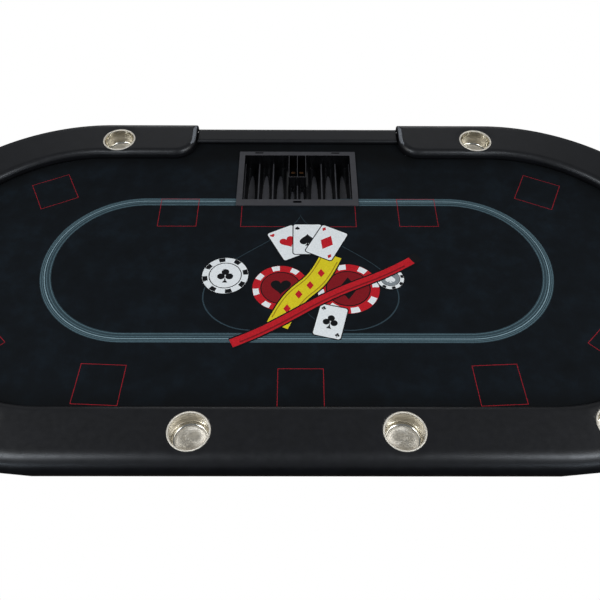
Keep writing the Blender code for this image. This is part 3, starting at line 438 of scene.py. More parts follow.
def rail_drop(x, y):
    """Depth of the rail's surface below its top, from its inner, outer and end edges."""
    along, across = max(0.0, abs(x) - SPINE), y
    from_spine = math.hypot(along, across)
    drop = round_over(OUTER - from_spine, OUTER_ROUND)
    inside = from_spine - INNER
    if y > 0 and abs(x) < CORNER[0]:
        if y < CORNER[1]:
            inside = CORNER_R - math.hypot(CORNER[0] - abs(x), CORNER[1] - y)
        else:
            inside = abs(x) - BAY_X
    elif y > 0 and abs(x) < SPINE:
        inside = y - INNER
    return max(drop, round_over(max(0.0, inside), INNER_ROUND))


def cup_dimple(x, y):
    """The vinyl dips a little where a cup's rim presses on it."""
    dip = 0.0
    for cup in CUP_PLACES:
        distance = math.hypot(x - cup.x, y - cup.y)
        if distance < 0.11:
            dip += 0.0012 * math.exp(-(((distance - CUP_RIM) / 0.010) ** 2))
    return dip


def rail_stations():
    """(spine x, angle, inner radius) every few millimetres, from the left bay round to the right."""
    end = [(SPINE, math.radians(-90 + turn)) for turn in steps_between(0, 180, 0.75)]
    far = [(x, math.radians(90)) for x in steps_between(SPINE, CORNER[0], 0.006)[1:]]
    for bend in steps_between(0, 90, 4.0)[1:]:
        far.append((CORNER[0] - CORNER_R * math.sin(math.radians(bend)), math.radians(90)))
    right = end + far
    left = [(-x, math.pi - angle) for x, angle in reversed(right)]
    near = [(x, math.radians(-90)) for x in steps_between(-SPINE, SPINE, 0.006)[1:-1]]
    return left + near + right


def inner_lip(x, angle):
    """The padding's inner edge, as a distance from the spine; it curves away into the bay."""
    if math.sin(angle) > 0.999 and abs(x) < CORNER[0]:
        run = min(CORNER_R, CORNER[0] - abs(x))
        return CORNER[1] - math.sqrt(max(0.0, CORNER_R**2 - run**2))
    return INNER


def column_places(inner):
    """Distances from the spine across the padding: close together where it curves."""
    lip = [inner + INNER_ROUND * (1 - math.cos(math.radians(a))) for a in range(0, 91, 10)]
    edge = [OUTER - OUTER_ROUND * (1 - math.cos(math.radians(a))) for a in range(80, -1, -8)]
    flat = [lip[-1] + (edge[0] - lip[-1]) * i / 22 for i in range(1, 22)]
    return lip + flat + edge


def make_rail_cover():
    """The vinyl over the padded rail, swept along the stations and open where it meets wood."""
    bm = bmesh.new()
    rows = []
    foot_in = CLOTH_Z + LIFT
    foot_out = DECK_HIGH[2] + LIFT
    for x, angle in rail_stations():
        radii = column_places(inner_lip(x, angle))
        row = []
        for radius in radii:
            px, py = x + radius * math.cos(angle), radius * math.sin(angle)
            z = RAIL_TOP - rail_drop(px, py) - cup_dimple(px, py)
            row.append(bm.verts.new((px, py, z)))
        for radius, foot, at in ((radii[0], foot_in, 0), (radii[-1], foot_out, -1)):
            top = row[at].co.copy()
            levels = (top.z + (foot - top.z) / 2, foot)
            down = [bm.verts.new((top.x, top.y, level)) for level in levels]
            row = list(reversed(down)) + row if at == 0 else row + down
        rows.append(row)
    grid_faces(bm, rows)
    close_rail_end(bm, rows[0], foot_in)
    close_rail_end(bm, rows[-1], foot_in)
    open_cup_holes(bm)
    cover = make_piece(
        "rail_vinyl", bm, [VINYL], TOP, 60, VINYL_THICKNESS, "rail_cover"
    )


def close_rail_end(bm, row, foot_in):
    """The upright face at the dealer's bay, below the rounded edge."""
    upper = [row[1]] + row[3:-3] + [row[-2]]
    lower = [bm.verts.new((v.co.x, v.co.y, min(v.co.z, foot_in))) for v in row[3:-3]]
    grid_faces(bm, [upper, [row[0]] + lower + [row[-1]]])
    bm.faces.new((row[1], row[2], row[3]))
    bm.faces.new((row[-2], row[-3], row[-4]))


def open_cup_holes(bm):
    """Snaps the mesh to each cup's hole, hidden under its rim, and opens it."""
    hole, reach = 0.0492, 0.0052
    bm.verts.ensure_lookup_table()
    gone = set()
    for vert in bm.verts:
        for cup in CUP_PLACES:
            away = Vector((vert.co.x - cup.x, vert.co.y - cup.y))
            distance = away.length
            if distance < hole - reach:
                gone.add(vert)
            elif distance < hole:
                away *= hole / distance
                vert.co.x, vert.co.y = cup.x + away.x, cup.y + away.y
    bmesh.ops.delete(bm, geom=list(gone), context="VERTS")


def make_dealer_rail():
    """The low bar across the bay: vinyl over foam, with tucked, rounded ends."""
    bm = bmesh.new()
    front = DEALER_LOW[1]
    half, back, top = DEALER_HIGH
    foot_front = CLOTH_Z + LIFT
    foot_back = DECK_HIGH[2] + LIFT
    round_front, round_back, round_end = 0.008, 0.020, 0.005
    xs = [-half + round_end * (1 - math.cos(math.radians(a))) for a in range(0, 91, 15)]
    xs += steps_between(xs[-1], -xs[-1], 0.02)[1:-1] + [-x for x in reversed(xs)]
    ys = [front + round_front * (1 - math.cos(math.radians(a))) for a in range(0, 91, 10)]
    ys += steps_between(ys[-1], back - round_back, 0.004)[1:-1]
    ys += [back - round_back * (1 - math.cos(math.radians(a))) for a in range(90, -1, -10)]
    rows = []
    for x in xs:
        row = [bm.verts.new((x, front, foot_front))]
        for y in ys:
            drop = max(round_over(y - front, round_front), round_over(back - y, round_back))
            drop = max(drop, round_over(half - abs(x), round_end))
            row.append(bm.verts.new((x, y, top - drop)))
        row.append(bm.verts.new((x, back, foot_back)))
        rows.append(row)
    grid_faces(bm, rows)
    for row in (rows[0], rows[-1]):
        low = [row[0]] + [bm.verts.new((v.co.x, v.co.y, foot_front)) for v in row[2:-2]] + [row[-1]]
        grid_faces(bm, [row[1:-1], low])
    cover = make_piece(
        "dealer_rail_vinyl", bm, [VINYL], TOP, 60, VINYL_THICKNESS, "dealer_rail_cover"
    )


# ---------------------------------------------------------------- the playing surface
def surface_outline():
    """The cloth's edge, tucked under the rail and, in the bay, under the dealer's bar."""
    right = [(SPINE + x, y) for x, y in arc((0, 0), INNER + 0.004, -90, 90, 90)]
    fillet = arc(CORNER, CORNER_R - 0.004, 270, 190, 16)
    side = BAY_X - 0.0008
    bay = fillet + [(side, CORNER[1] - 0.006), (side, DEALER_LOW[1] + 0.0085)]
    half = right + bay
    return half + [(-x, y) for x, y in reversed(half)]


def tray_cut():
    """The cloth's cut-out round the tray's tub, hidden under the tray's flange."""
    side = MOUTH_X + 0.005
    near = MOUTH_NEAR - 0.0055
    far = MOUTH_FAR + 0.005
    return [(-side, near), (side, near), (side, far), (-side, far)]


def make_cloth():
    """One flat sheet, stretched over the foam, with the hole for the tray."""
    curve = bpy.data.curves.new("cloth_outline", "CURVE")
    curve.dimensions = "2D"
    curve.fill_mode = "BOTH"
    curve.extrude = CLOTH_THICKNESS / 2
    for points in (surface_outline(), tray_cut()):
        spline = curve.splines.new("POLY")
        spline.points.add(len(points) - 1)
        for point, (x, y) in zip(spline.points, points):
            point.co = (x, y, 0, 1)
        spline.use_cyclic_u = True
    drawn = bpy.data.objects.new("cloth_outline", curve)
    bpy.context.scene.collection.objects.link(drawn)
    bpy.context.view_layer.update()
    graph = bpy.context.evaluated_depsgraph_get()
    mesh = bpy.data.meshes.new_from_object(drawn.evaluated_get(graph))
    bpy.data.objects.remove(drawn, do_unlink=True)
    bm = bmesh.new()
    bm.from_mesh(mesh)
    bmesh.ops.remove_doubles(bm, verts=bm.verts, dist=1e-6)
    bmesh.ops.translate(bm, verts=bm.verts, vec=(0, 0, CLOTH_Z - CLOTH_THICKNESS / 2))
    area = sum(f.calc_area() for f in bm.faces if f.normal.z > 0.9)
    cloth = make_piece("printed_speed_cloth", bm, [CLOTH], TOP, 0, replaces="speed_cloth")


FILM = 0.00004  # from one layer of print to the next
FILM_THICKNESS = FILM * 0.8


class Print:
    """Shapes of one dye, laid on the cloth as a film; a later layer lies over an earlier one."""

    def __init__(self, name, dark, light):
        self.name = name
        self.dye = dye_print("dye_" + name, dark, light)
        self.bm = bmesh.new()

    def area(self, points, layer):
        """A filled shape."""
        low = CLOTH_Z + FILM * (layer + 1)
        base = [self.bm.verts.new((x, y, low)) for x, y in points]
        face = self.bm.faces.new(base)
        lifted = bmesh.ops.extrude_face_region(self.bm, geom=[face])
        moved = [v for v in lifted["geom"] if isinstance(v, bmesh.types.BMVert)]
        bmesh.ops.translate(self.bm, verts=moved, vec=(0, 0, FILM_THICKNESS))

    def ring(self, outside, inside, layer):
        """A closed line between two outlines with the same number of points."""
        low = CLOTH_Z + FILM * (layer + 1)
        high = low + FILM_THICKNESS
        rows = []
        for points, z in ((outside, low), (outside, high), (inside, high), (inside, low)):
            rows.append([self.bm.verts.new((x, y, z)) for x, y in points])
        grid_faces(self.bm, rows, closed_rows=True, closed_columns=True)

    def leave_out_tray(self):
        """Cuts away what crosses the tray's cut-out; the tray's flange hides the cut ends."""
        (left, near), _, (right, far), _ = tray_cut()
        across, along = (1, 0, 0), (0, 1, 0)
        for place, normal in (((left, 0, 0), across), ((right, 0, 0), across), ((0, near, 0), along)):
            everything = self.bm.verts[:] + self.bm.edges[:] + self.bm.faces[:]
            bmesh.ops.bisect_plane(self.bm, geom=everything, plane_co=place, plane_no=normal)
        inside = []
        for face in self.bm.faces:
            at = face.calc_center_median()
            if left < at.x < right and near < at.y < far:
                inside.append(face)
        bmesh.ops.delete(self.bm, geom=inside, context="FACES")
        ends = [edge for edge in self.bm.edges if edge.is_boundary]
        bmesh.ops.holes_fill(self.bm, edges=ends, sides=0)

    def done(self):
        make_piece("print_" + self.name, self.bm, [self.dye], TOP, 0)


TRACK_SPINE = 0.4526
TRACK_OUTER = 0.2675
PRINT_Y = 0.005  # the print sits this far towards the dealer


def track(radius):
    """The racetrack's outline at one distance from its spine."""
    right = arc((TRACK_SPINE, PRINT_Y), radius, -90, 90, 60)
    return right + arc((-TRACK_SPINE, PRINT_Y), radius, 90, 270, 60)


def print_racetrack():
    """The betting line: a dim band with finer, brighter lines along it."""
    band = Print("track_band", "#2B3B41", "#35474E")
    lines = Print("track_lines", "#4C6168", "#5C747B")
    bright = Print("track_bright", "#7A929A", "#8FA7AE")
    band.ring(track(TRACK_OUTER - 0.0025), track(TRACK_OUTER - 0.0336), 1)
    for inset in (0.0045, 0.0090, 0.0205, 0.0290):
        lines.ring(track(TRACK_OUTER - inset), track(TRACK_OUTER - inset - 0.0020), 2)
    bright.ring(track(TRACK_OUTER - 0.0140), track(TRACK_OUTER - 0.0140 - 0.0024), 2)
    for piece in (band, lines, bright):
        piece.leave_out_tray()
        piece.done()


def turn_points(points, centre, degrees):
    """An outline turned by an angle and then moved to its place."""
    turn = math.radians(degrees)
    c, s = math.cos(turn), math.sin(turn)
    return [(centre[0] + c * x - s * y, centre[1] + s * x + c * y) for x, y in points]


def box_points(half_x, half_y):
    return [(-half_x, -half_y), (half_x, -half_y), (half_x, half_y), (-half_x, half_y)]


def print_box(dye, half_x, half_y, centre, degrees):
    """A thin line round a box."""
    line = 0.0015
    outside = turn_points(box_points(half_x, half_y), centre, degrees)
    inside = turn_points(box_points(half_x - line, half_y - line), centre, degrees)
    dye.ring(outside, inside, 3)


def print_card_boxes():
    """One thin red square for each player's cards, and the board's wide box."""
    red = Print("card_boxes", "#8E1420", "#A81C29")
    half = 0.1155 / 2
    places = [(0.009, -0.400, 0.0)]
    places += [(-0.488, -0.388, -2.5), (0.500, -0.388, 2.8), (-0.745, 0.294, 26.0), (0.741, 0.296, -25.0)]
    places += [(-0.356, 0.205, 0.0), (0.360, 0.206, 0.0)]
    places += [(side * 0.832, -0.264, 45.0) for side in (-1, 1)]
    places += [(side * 0.985, 0.080, side * -62.0) for side in (-1, 1)]
    for x, y, degrees in places:
        print_box(red, half, half, (x, y + PRINT_Y), degrees)
    print_box(red, 0.1715, half, (0.0035, 0.204 + PRINT_Y), 0)
    red.leave_out_tray()
    red.done()


# ---------------------------------------------------------------- the printed emblem
def heart(size, count=40):
    points = []
    for i in range(count):
        t = 2 * math.pi * i / count
        x = 16 * math.sin(t) ** 3
        y = 13 * math.cos(t) - 5 * math.cos(2 * t) - 2 * math.cos(3 * t) - math.cos(4 * t)
        points.append((x * size / 32, (y + 2.5) * size / 32))
    return points


def upside_down(points):
    return [(x, -y) for x, y in points]


def stem(size):
    foot = [(0.0, -0.12 * size), (0.05 * size, -0.40 * size), (0.17 * size, -0.56 * size)]
    return foot + [(-x, y) for x, y in reversed(foot[1:])]


def diamond(size):
    half = size / 2
    return [(0, half * 1.25), (-half * 0.85, 0), (0, -half * 1.25), (half * 0.85, 0)]


def disc(centre, radius, points=60):
    return arc(centre, radius, 0, 360 - 360 / points, points - 1)


def pip(suit, size):
    """The outlines that make up one suit's sign."""
    if suit == "heart":
        return [heart(size)]
    if suit == "diamond":
        return [diamond(size)]
    if suit == "spade":
        return [upside_down(heart(size)), stem(size)]
    lobes = ((0, 0.26), (-0.25, -0.08), (0.25, -0.08))
    return [disc((x * size, y * size), 0.23 * size, 24) for x, y in lobes] + [stem(size)]


def moved(points, dx, dy):
    return [(x + dx, y + dy) for x, y in points]


def card_outline(width, height, corner):
    w, h = width / 2 - corner, height / 2 - corner
    points = []
    for cx, cy, start in ((w, -h, -90), (w, h, 0), (-w, h, 90), (-w, -h, 180)):
        points += arc((cx, cy), corner, start, start + 90, 5)
    return points


def ribbon(points, width):
    """A band of constant width along a curve, as one outline."""
    left, right = [], []
    for i, (x, y) in enumerate(points):
        ax, ay = points[max(0, i - 1)]
        bx, by = points[min(len(points) - 1, i + 1)]
        length = math.hypot(bx - ax, by - ay)
        nx, ny = -(by - ay) / length, (bx - ax) / length
        left.append((x + nx * width / 2, y + ny * width / 2))
        right.append((x - nx * width / 2, y - ny * width / 2))
    return left + list(reversed(right))


def between(points, steps):
    """Points spread evenly along each stretch of a line."""
    spread = []
    for (ax, ay), (bx, by) in zip(points, points[1:]):
        for i in range(steps):
            spread.append((ax + (bx - ax) * i / steps, ay + (by - ay) * i / steps))
    return spread + [points[-1]]


def print_card(dyes, centre, lean, size, suit, layer):
    """A plain ace: a white card with a black edge, one large sign and two small ones."""
    width, height = size

    def on_card(points, across=0.0, lift=0.0):
        return turn_points(moved(points, across, lift), centre, lean)

    dyes["black"].area(on_card(card_outline(width + 0.006, height + 0.006, 0.009)), layer)
    dyes["white"].area(on_card(card_outline(width, height, 0.007)), layer + 1)
    ink = dyes["red" if suit in ("heart", "diamond") else "black"]
    corner = (width * 0.36, height * 0.38)
    signs = ((0.56, 0, 0), (0.17, -corner[0], corner[1]), (0.17, corner[0], -corner[1]))
    for scale, across, lift in signs:
        for number, outline in enumerate(pip(suit, width * scale)):
            ink.area(on_card(outline, across, lift), layer + 2 + number)


def print_chip(dyes, centre, radius, rim, face, suit, layer):
    """A casino chip from above: edge spots, a ring and one suit's sign."""
    dyes["black"].area(disc(centre, radius + 0.003), layer)
    dyes[rim].area(disc(centre, radius), layer + 1)
    wedge = arc((0, 0), radius * 0.99, -9, 9, 4) + arc((0, 0), radius * 0.78, 9, -9, 4)
    spots = dyes["black" if rim == "white" else "white"]
    for spot in range(8):
        spots.area(turn_points(wedge, centre, 45 * spot + 12), layer + 2)
    dyes["black"].area(disc(centre, radius * 0.72), layer + 2)
    dyes[face].area(disc(centre, radius * 0.68), layer + 3)
    ink = dyes["black" if face in ("white", "deep_red") else "white"]
    for number, outline in enumerate(pip(suit, radius * 0.72)):
        ink.area(moved(outline, *centre), layer + 4 + number)


def print_emblem():
    """A plain club emblem inside a spade: chips, a fan of aces, a yellow sash and a red ribbon."""
    colours = {
        "red": ("#B3131D", "#CF1F2A"),
        "deep_red": ("#7C0F17", "#8C141D"),
        "white": ("#E6E8E7", "#F6F7F5"),
        "grey": ("#7E8487", "#8E9497"),
        "black": ("#08090B", "#0D0F12"),
        "yellow": ("#D9C415", "#EAD72C"),
        "amber": ("#9A7E10", "#A98C18"),
        "outline": ("#2B3B42", "#34454D"),
    }
    dyes = {name: Print("emblem_" + name, *shades) for name, shades in colours.items()}
    big, small = (upside_down(heart(size, 160)) for size in (0.470, 0.464))
    centre = (0.010, -0.010)
    wider = [[(x * 1.14, y) for x, y in outline] for outline in (big, small)]
    dyes["outline"].ring(moved(wider[0], *centre), moved(wider[1], *centre), 1)

    print_chip(dyes, (0.140, -0.080), 0.086, "red", "deep_red", "diamond", 2)
    print_chip(dyes, (-0.045, -0.078), 0.078, "red", "deep_red", "heart", 2)
    print_chip(dyes, (-0.200, -0.035), 0.064, "white", "white", "club", 3)
    print_card(dyes, (0.088, -0.192), -14, (0.074, 0.102), "club", 9)

    sash = []
    for share in steps_between(0, 1, 1 / 24):
        sway = 0.016 * math.sin(2 * math.pi * share)
        sash.append((0.098 - 0.150 * share, 0.040 - 0.245 * share - sway))
    dyes["black"].area(ribbon(sash, 0.068), 13)
    dyes["yellow"].area(ribbon(sash, 0.060), 14)
    for along in (0.021, -0.021):
        dyes["amber"].area(ribbon(moved(sash[1:-1], along, -along * 0.55), 0.0030), 15)
    for at in (5, 10, 15, 20):
        dyes["red"].area(moved(diamond(0.024), *sash[at]), 15)

    fan = (0.030, -0.020)
    for number, (lean, suit) in enumerate(((27, "heart"), (0, "spade"), (-27, "diamond"))):
        turn = math.radians(lean)
        place = (fan[0] - 0.122 * math.sin(turn), fan[1] + 0.122 * math.cos(turn))
        print_card(dyes, place, lean, (0.082, 0.116), suit, 16 + 4 * number)

    print_chip(dyes, (0.258, -0.045), 0.038, "white", "grey", "spade", 14)
    tail = [(-0.170, -0.262), (0.090, -0.112), (0.345, 0.036)]
    line = [(x, y + 0.006 * math.sin(3.0 * x / 0.17)) for x, y in between(tail, 12)]
    dyes["black"].area(ribbon(line, 0.034), 28)
    dyes["red"].area(ribbon(line[:-1], 0.026), 29)
    dyes["deep_red"].area(ribbon(moved(line[1:-2], 0, -0.006), 0.005), 30)
    for dye in dyes.values():
        dye.done()


# ---------------------------------------------------------------- cups
def make_cups():
    """Deep-drawn cups: a rolled rim, a straight bright wall and a spun floor with a low step."""
    for node in CUPS:
        low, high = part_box(node)
        centre = middle(node)
        top = high[2] - low[2]
        wall = 0.0009
        rim = arc((CUP_RIM - 0.0026, top - 0.0026), 0.0026, -60, 125, 12)
        inner = [(CUP_BODY - wall + 0.0004, top - 0.0012), (CUP_BODY - wall, top - 0.0040)]
        inner += [(CUP_BODY - wall - 0.0016, 0.0095)]
        cove = arc((CUP_BODY - wall - 0.0086, 0.0090), 0.0070, 0, -80, 10)
        floor = [(0.0330, 0.0022), (0.0322, 0.0014), (0.0150, 0.0012), (0.0, 0.0011)]
        under = [(0.0, 0.0001), (0.0375, 0.0001), (CUP_BODY - 0.0025, 0.0050), (CUP_BODY, top - 0.0040)]
        under += [(CUP_BODY, top - 0.0052)]
        bm = bmesh.new()
        turned(bm, under + rim + inner + cove + floor, segments=96)
        for face in bm.faces:
            place = face.calc_center_median()
            radius = math.hypot(place.x, place.y)
            on_floor = 0.0005 < place.z < 0.0040 and radius < 0.039
            on_rim = place.z > top - 0.0045 and radius > CUP_BODY - 0.0012
            face.material_index = 1 if on_floor or on_rim else 0
        make_piece(
            "steel_" + node,
            bm,
            [POLISHED, SPUN],
            node,
            50,
            replaces=node,
            place=(centre.x, centre.y, low[2]),
        )


# ---------------------------------------------------------------- chip tray
MOUTH_X = 0.1680
MOUTH_NEAR = TRAY_LOW[1] + 0.026
MOUTH_FAR = TRAY_HIGH[1] - 0.018
RIDGE_DEPTH = 0.036
TUBE_R = 0.0206
SHORT_R = 0.0135
TUBES = [side * (0.032 + 0.0453 * (i + 0.5)) for side in (-1, 1) for i in range(3)]
SHORT_TUBES = [-0.0155, 0.0155]
SLOT_NEAR = MOUTH_NEAR + 0.0995
SLOT_WALL = 0.002
SLOT_WIDTH = 0.0245
SLOT_BLOCK = SLOT_WALL * 1.5 + SLOT_WIDTH
SLOT_DEPTH = 0.0575
WINDOW_X = 0.0135
WINDOW_HALF_X = 0.0066
WINDOW_HALF_Y = 0.0051
WINDOWS_Y = (MOUTH_FAR - 0.0385, MOUTH_FAR - 0.0175)
LANDS = [(centre, TUBE_R, 0.0115, 0.166) for centre in TUBES]
SHORT_LANDS = [(centre, SHORT_R, 0.0063, 0.086) for centre in SHORT_TUBES]


def trough_depth(x, y, centre, radius, half_width, length):
    """Depth below the ridges in one tube, with its raised land at the near end."""
    off = abs(x - centre)
    if off >= radius:
        return 0.0
    depth = math.sqrt(radius**2 - off**2)
    share = (y - MOUTH_NEAR) / length
    if share < 1.0:
        width = half_width * math.sqrt(1.0 - share**2)
        if off < width:
            depth = math.sqrt(radius**2 - width**2)
    return depth


def tray_depth(x, y):
    """Depth of the tray's surface below its flange."""
    if abs(x) > MOUTH_X or not MOUTH_NEAR < y < MOUTH_FAR:
        return 0.0
    if abs(x) < SLOT_BLOCK and y > SLOT_NEAR:
        inner = SLOT_WALL / 2
        if inner < abs(x) < inner + SLOT_WIDTH and y > SLOT_NEAR + SLOT_WALL:
            return SLOT_DEPTH
        return 0.0
    lands = LANDS + (SHORT_LANDS if y < SLOT_NEAR else [])
    return RIDGE_DEPTH + max(trough_depth(x, y, *land) for land in lands)


def edge_pair(value, gap=0.0003):
    """The values a gap either side of this one, such as a steep wall's head and foot."""
    return [value - gap, value + gap]


def tray_lines():
    """Grid lines: pairs at each wall, and a fan across each tube."""
    xs = [TRAY_LOW[0], -TRAY_LOW[0]] + edge_pair(MOUTH_X) + edge_pair(-MOUTH_X)
    for side in (-1, 1):
        for value in (SLOT_WALL / 2, SLOT_WALL / 2 + SLOT_WIDTH, SLOT_BLOCK):
            xs += edge_pair(side * value)
    for centres, radius in ((TUBES, TUBE_R), (SHORT_TUBES, SHORT_R)):
        for centre in centres:
            xs += [centre + radius * math.sin(math.radians(a)) for a in range(-90, 91, 9)]
            xs += steps_between(centre - 0.0118, centre + 0.0118, 0.0012)
    for side in (-1, 1):
        for value in (WINDOW_X - WINDOW_HALF_X, WINDOW_X, WINDOW_X + WINDOW_HALF_X, 0.1095, 0.1365):
            xs.append(side * value)
    ys = [TRAY_LOW[1], TRAY_HIGH[1]] + edge_pair(MOUTH_NEAR) + edge_pair(MOUTH_FAR)
    ys += edge_pair(SLOT_NEAR) + edge_pair(SLOT_NEAR + SLOT_WALL)
    ys += steps_between(MOUTH_NEAR + 0.004, MOUTH_FAR - 0.004, 0.0030)
    for y in WINDOWS_Y:
        ys += edge_pair(y, WINDOW_HALF_Y)
    return tidy_lines(xs), tidy_lines(ys)


def tidy_lines(values, least=0.0002):
    """Sorted values with those closer than least left out."""
    kept = []
    for value in sorted(values):
        if not kept or value - kept[-1] > least:
            kept.append(value)
    return kept


def in_window(x, y):
    """The two small windows in each card slot's floor."""
    beside = abs(abs(x) - WINDOW_X) < WINDOW_HALF_X
    return beside and min(abs(y - window) for window in WINDOWS_Y) < WINDOW_HALF_Y


def is_lit_grey(x, y, rise):
    """Whether the tray faces straight up here: its flange, ridges and the lands in its tubes. These keep
    the grey ABS; all other faces get the near-black copy as painted shade.
    """
    depth = tray_depth(x, y)
    if rise > 0.0008 or depth < 0.0005:
        return depth < 0.0005 and rise < 0.0008
    if abs(depth - RIDGE_DEPTH) < 0.0002:
        tubes = LANDS + (SHORT_LANDS if y < SLOT_NEAR else [])
        return min(abs(abs(x - centre) - radius) for centre, radius, _, _ in tubes) < 0.0024
    for centre, _, half_width, length in LANDS + SHORT_LANDS:
        share = (y - MOUTH_NEAR) / length
        if share < 1.0 and abs(x - centre) < half_width * math.sqrt(1.0 - share**2):
            return y < SLOT_NEAR or abs(x) > SLOT_BLOCK
    return False


def make_tray():
    """A moulded shell with a wide flange: six chip tubes, two card slots, two short tubes."""
    xs, ys = tray_lines()
    bm = bmesh.new()
    rows = []
    for y in ys:
        rows.append([bm.verts.new((x, y, TRAY_HIGH[2] - tray_depth(x, y))) for x in xs])
    for row, following in zip(rows, rows[1:]):
        for i in range(len(xs) - 1):
            centre_x = (row[i].co.x + row[i + 1].co.x) / 2
            centre_y = (row[i].co.y + following[i].co.y) / 2
            if not in_window(centre_x, centre_y):
                face = bm.faces.new((row[i], row[i + 1], following[i + 1], following[i]))
                heights = [vert.co.z for vert in face.verts]
                rise = max(heights) - min(heights)
                # grey where the tray faces straight up, near-black painted shade on its walls and tube
                # floors
                face.material_index = 0 if is_lit_grey(centre_x, centre_y, rise) else 1
    right_side = [row[-1] for row in rows[1:]]
    left_side = [row[0] for row in rows[-2:0:-1]]
    lip = rows[0] + right_side + rows[-1][-2::-1] + left_side
    low = [bm.verts.new((v.co.x, v.co.y, TRAY_HIGH[2] - 0.0034)) for v in lip]
    grid_faces(bm, [lip, low], closed_columns=True)
    # the second finish is the near-black copy of the ABS: painted shade
    finish = [ABS, SHADED_GLOSSY_ABS]
    tray = make_piece("moulded_chip_tray", bm, finish, "chip_tray", 40, 0.0016, "chip_tray")
    round_edges = tray.modifiers.new("round_edges", "BEVEL")
    round_edges.width = 0.0006
    round_edges.segments = 2
    round_edges.limit_method = "ANGLE"
    round_edges.angle_limit = math.radians(50)
    make_lid_slots()


def make_lid_slots():
    """Flat plates of painted shade on the flange, where the locking lid's tongues go into its slots."""
    bm = bmesh.new()
    near = TRAY_LOW[1] + 0.015
    far = TRAY_HIGH[1] - 0.006
    half_length = 0.0135
    for x, y, half in ((-0.123, far, 0.0024), (0.123, far, 0.0024), (0.0, near, 0.0040)):
        outline = arc((x + half_length - half, y), half, -90, 90, 10)
        outline += arc((x - half_length + half, y), half, 90, 270, 10)
        rim = [bm.verts.new((px, py, TRAY_HIGH[2] + 0.00012)) for px, py in outline]
        floor = [bm.verts.new((px, py, TRAY_HIGH[2] + 0.00002)) for px, py in outline]
        bm.faces.new(rim)
        bm.faces.new(floor)
        grid_faces(bm, [rim, floor], closed_columns=True)
    make_piece("tray_lid_slots", bm, [SHADOW], "chip_tray", 0)


# ---------------------------------------------------------------- legs and their hardware
def make_tube(node, axis, radius, body):
    """A smooth round tube with rolled ends in place of a faceted one."""
    low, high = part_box(node)
    half = (high[axis] - low[axis]) / 2
    bore = radius - 0.0015
    end = [(bore, half - 0.0012), (bore + 0.0004, half), (radius - 0.0005, half), (radius, half - 0.0005)]
    other_end = [(out, -along) for out, along in reversed(end)]
    direction = Vector([1.0 if i == axis else 0.0 for i in range(3)])
    bm = bmesh.new()
    turned(bm, end + other_end + end[:1], middle(node), direction, 48)
    bmesh.ops.remove_doubles(bm, verts=bm.verts, dist=1e-6)
    make_piece(node + "_round", bm, [COATED], body, 40, replaces=node)


def weld_bead(bm, centre, direction, radius):
    """A fillet of weld round a tube where it meets another."""
    profile = []
    for i in range(9):
        angle = math.radians(-60 + 15 * i)
        profile.append((radius + 0.0016 * math.cos(angle), 0.0016 * math.sin(angle)))
    turned(bm, profile + profile[:1], centre, direction, 40)


LEG_TUBE_R = 0.0143
LEG_RAILS = (("cross_rail", 0.0095), ("brace_bar", 0.0100))


def make_leg_set(side):
    """One folding leg frame: tubes, welds, feet and the brace, with what holds it to the deck."""
    body = f"{side}_leg"
    make_tube(f"{side}_pivot_tube", 1, LEG_TUBE_R, body)
    for rail, radius in LEG_RAILS:
        make_tube(f"{side}_{rail}", 1, radius, body)
    welds = bmesh.new()
    for place in ("near", "far"):
        leg = f"{side}_{place}_leg_tube"
        make_tube(leg, 2, LEG_TUBE_R, body)
        centre = middle(leg)
        weld_bead(welds, (centre.x, centre.y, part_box(leg)[1][2] - 0.0006), UP, LEG_TUBE_R)
        inward = -1 if centre.y > 0 else 1
        for rail, radius in LEG_RAILS:
            at = middle(f"{side}_{rail}")
            at.y = centre.y + inward * 0.0152
            weld_bead(welds, at, Vector((0, 1, 0)), radius)
        make_foot(f"{side}_{place}_foot", body)
    make_piece(f"{side}_leg_welds", welds, [COATED], body, 0)
    make_fixings(side)
    for part in ("upper_brace_link", "lower_brace_link", "brace_tab"):
        paint(f"{side}_{part}", COATED)
    paint(f"{side}_brace_bracket", ZINC)
    for place in ("near", "far"):
        paint(f"{side}_{place}_saddle", ZINC)
        paint(f"{side}_{place}_clip", ZINC)


def make_foot(node, body):
    """A moulded rubber ferrule: ribbed skirt, rounded sole."""
    centre = middle(node)
    outside = 0.018
    groove = outside - 0.0008
    bore = 0.0147
    profile = [(0.0, 0.0), (0.0125, 0.0), (0.0150, 0.0008), (0.0175, 0.0036), (outside, 0.0060)]
    for rib in range(4):
        z = 0.010 + 0.006 * rib
        profile += [(outside, z), (groove, z + 0.0012), (groove, z + 0.0028), (outside, z + 0.004)]
    profile += [(outside, 0.0375), (outside - 0.0010, 0.0400), (bore + 0.0003, 0.0400)]
    profile += [(bore, 0.0390), (bore, 0.0100), (0.0, 0.0100)]
    bm = bmesh.new()
    turned(bm, profile, (centre.x, centre.y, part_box(node)[0][2]), UP, 48)
    make_piece(node + "_ferrule", bm, [RUBBER], body, 40, replaces=node)


def screw_head(bm, place, radius, height):
    """A pan head, pointing down, with a cross recess."""
    profile = [(0.0, -height)]
    for i in range(1, 7):
        angle = math.radians(15 * i)
        profile.append((radius * math.sin(angle), -height * (0.35 + 0.65 * math.cos(angle))))
    profile += [(radius, 0.0), (0.0, 0.0)]
    turned(bm, profile, place, UP, 24)
    for turn in (0, 90):
        arm = Matrix.Translation(Vector(place) + Vector((0, 0, -height - 0.00002)))
        arm = arm @ Matrix.Rotation(math.radians(turn), 4, "Z")
        arm = arm @ Matrix.Diagonal((radius, radius * 0.22, 0.0003, 1.0))
        bmesh.ops.create_cube(bm, size=1.0, matrix=arm)


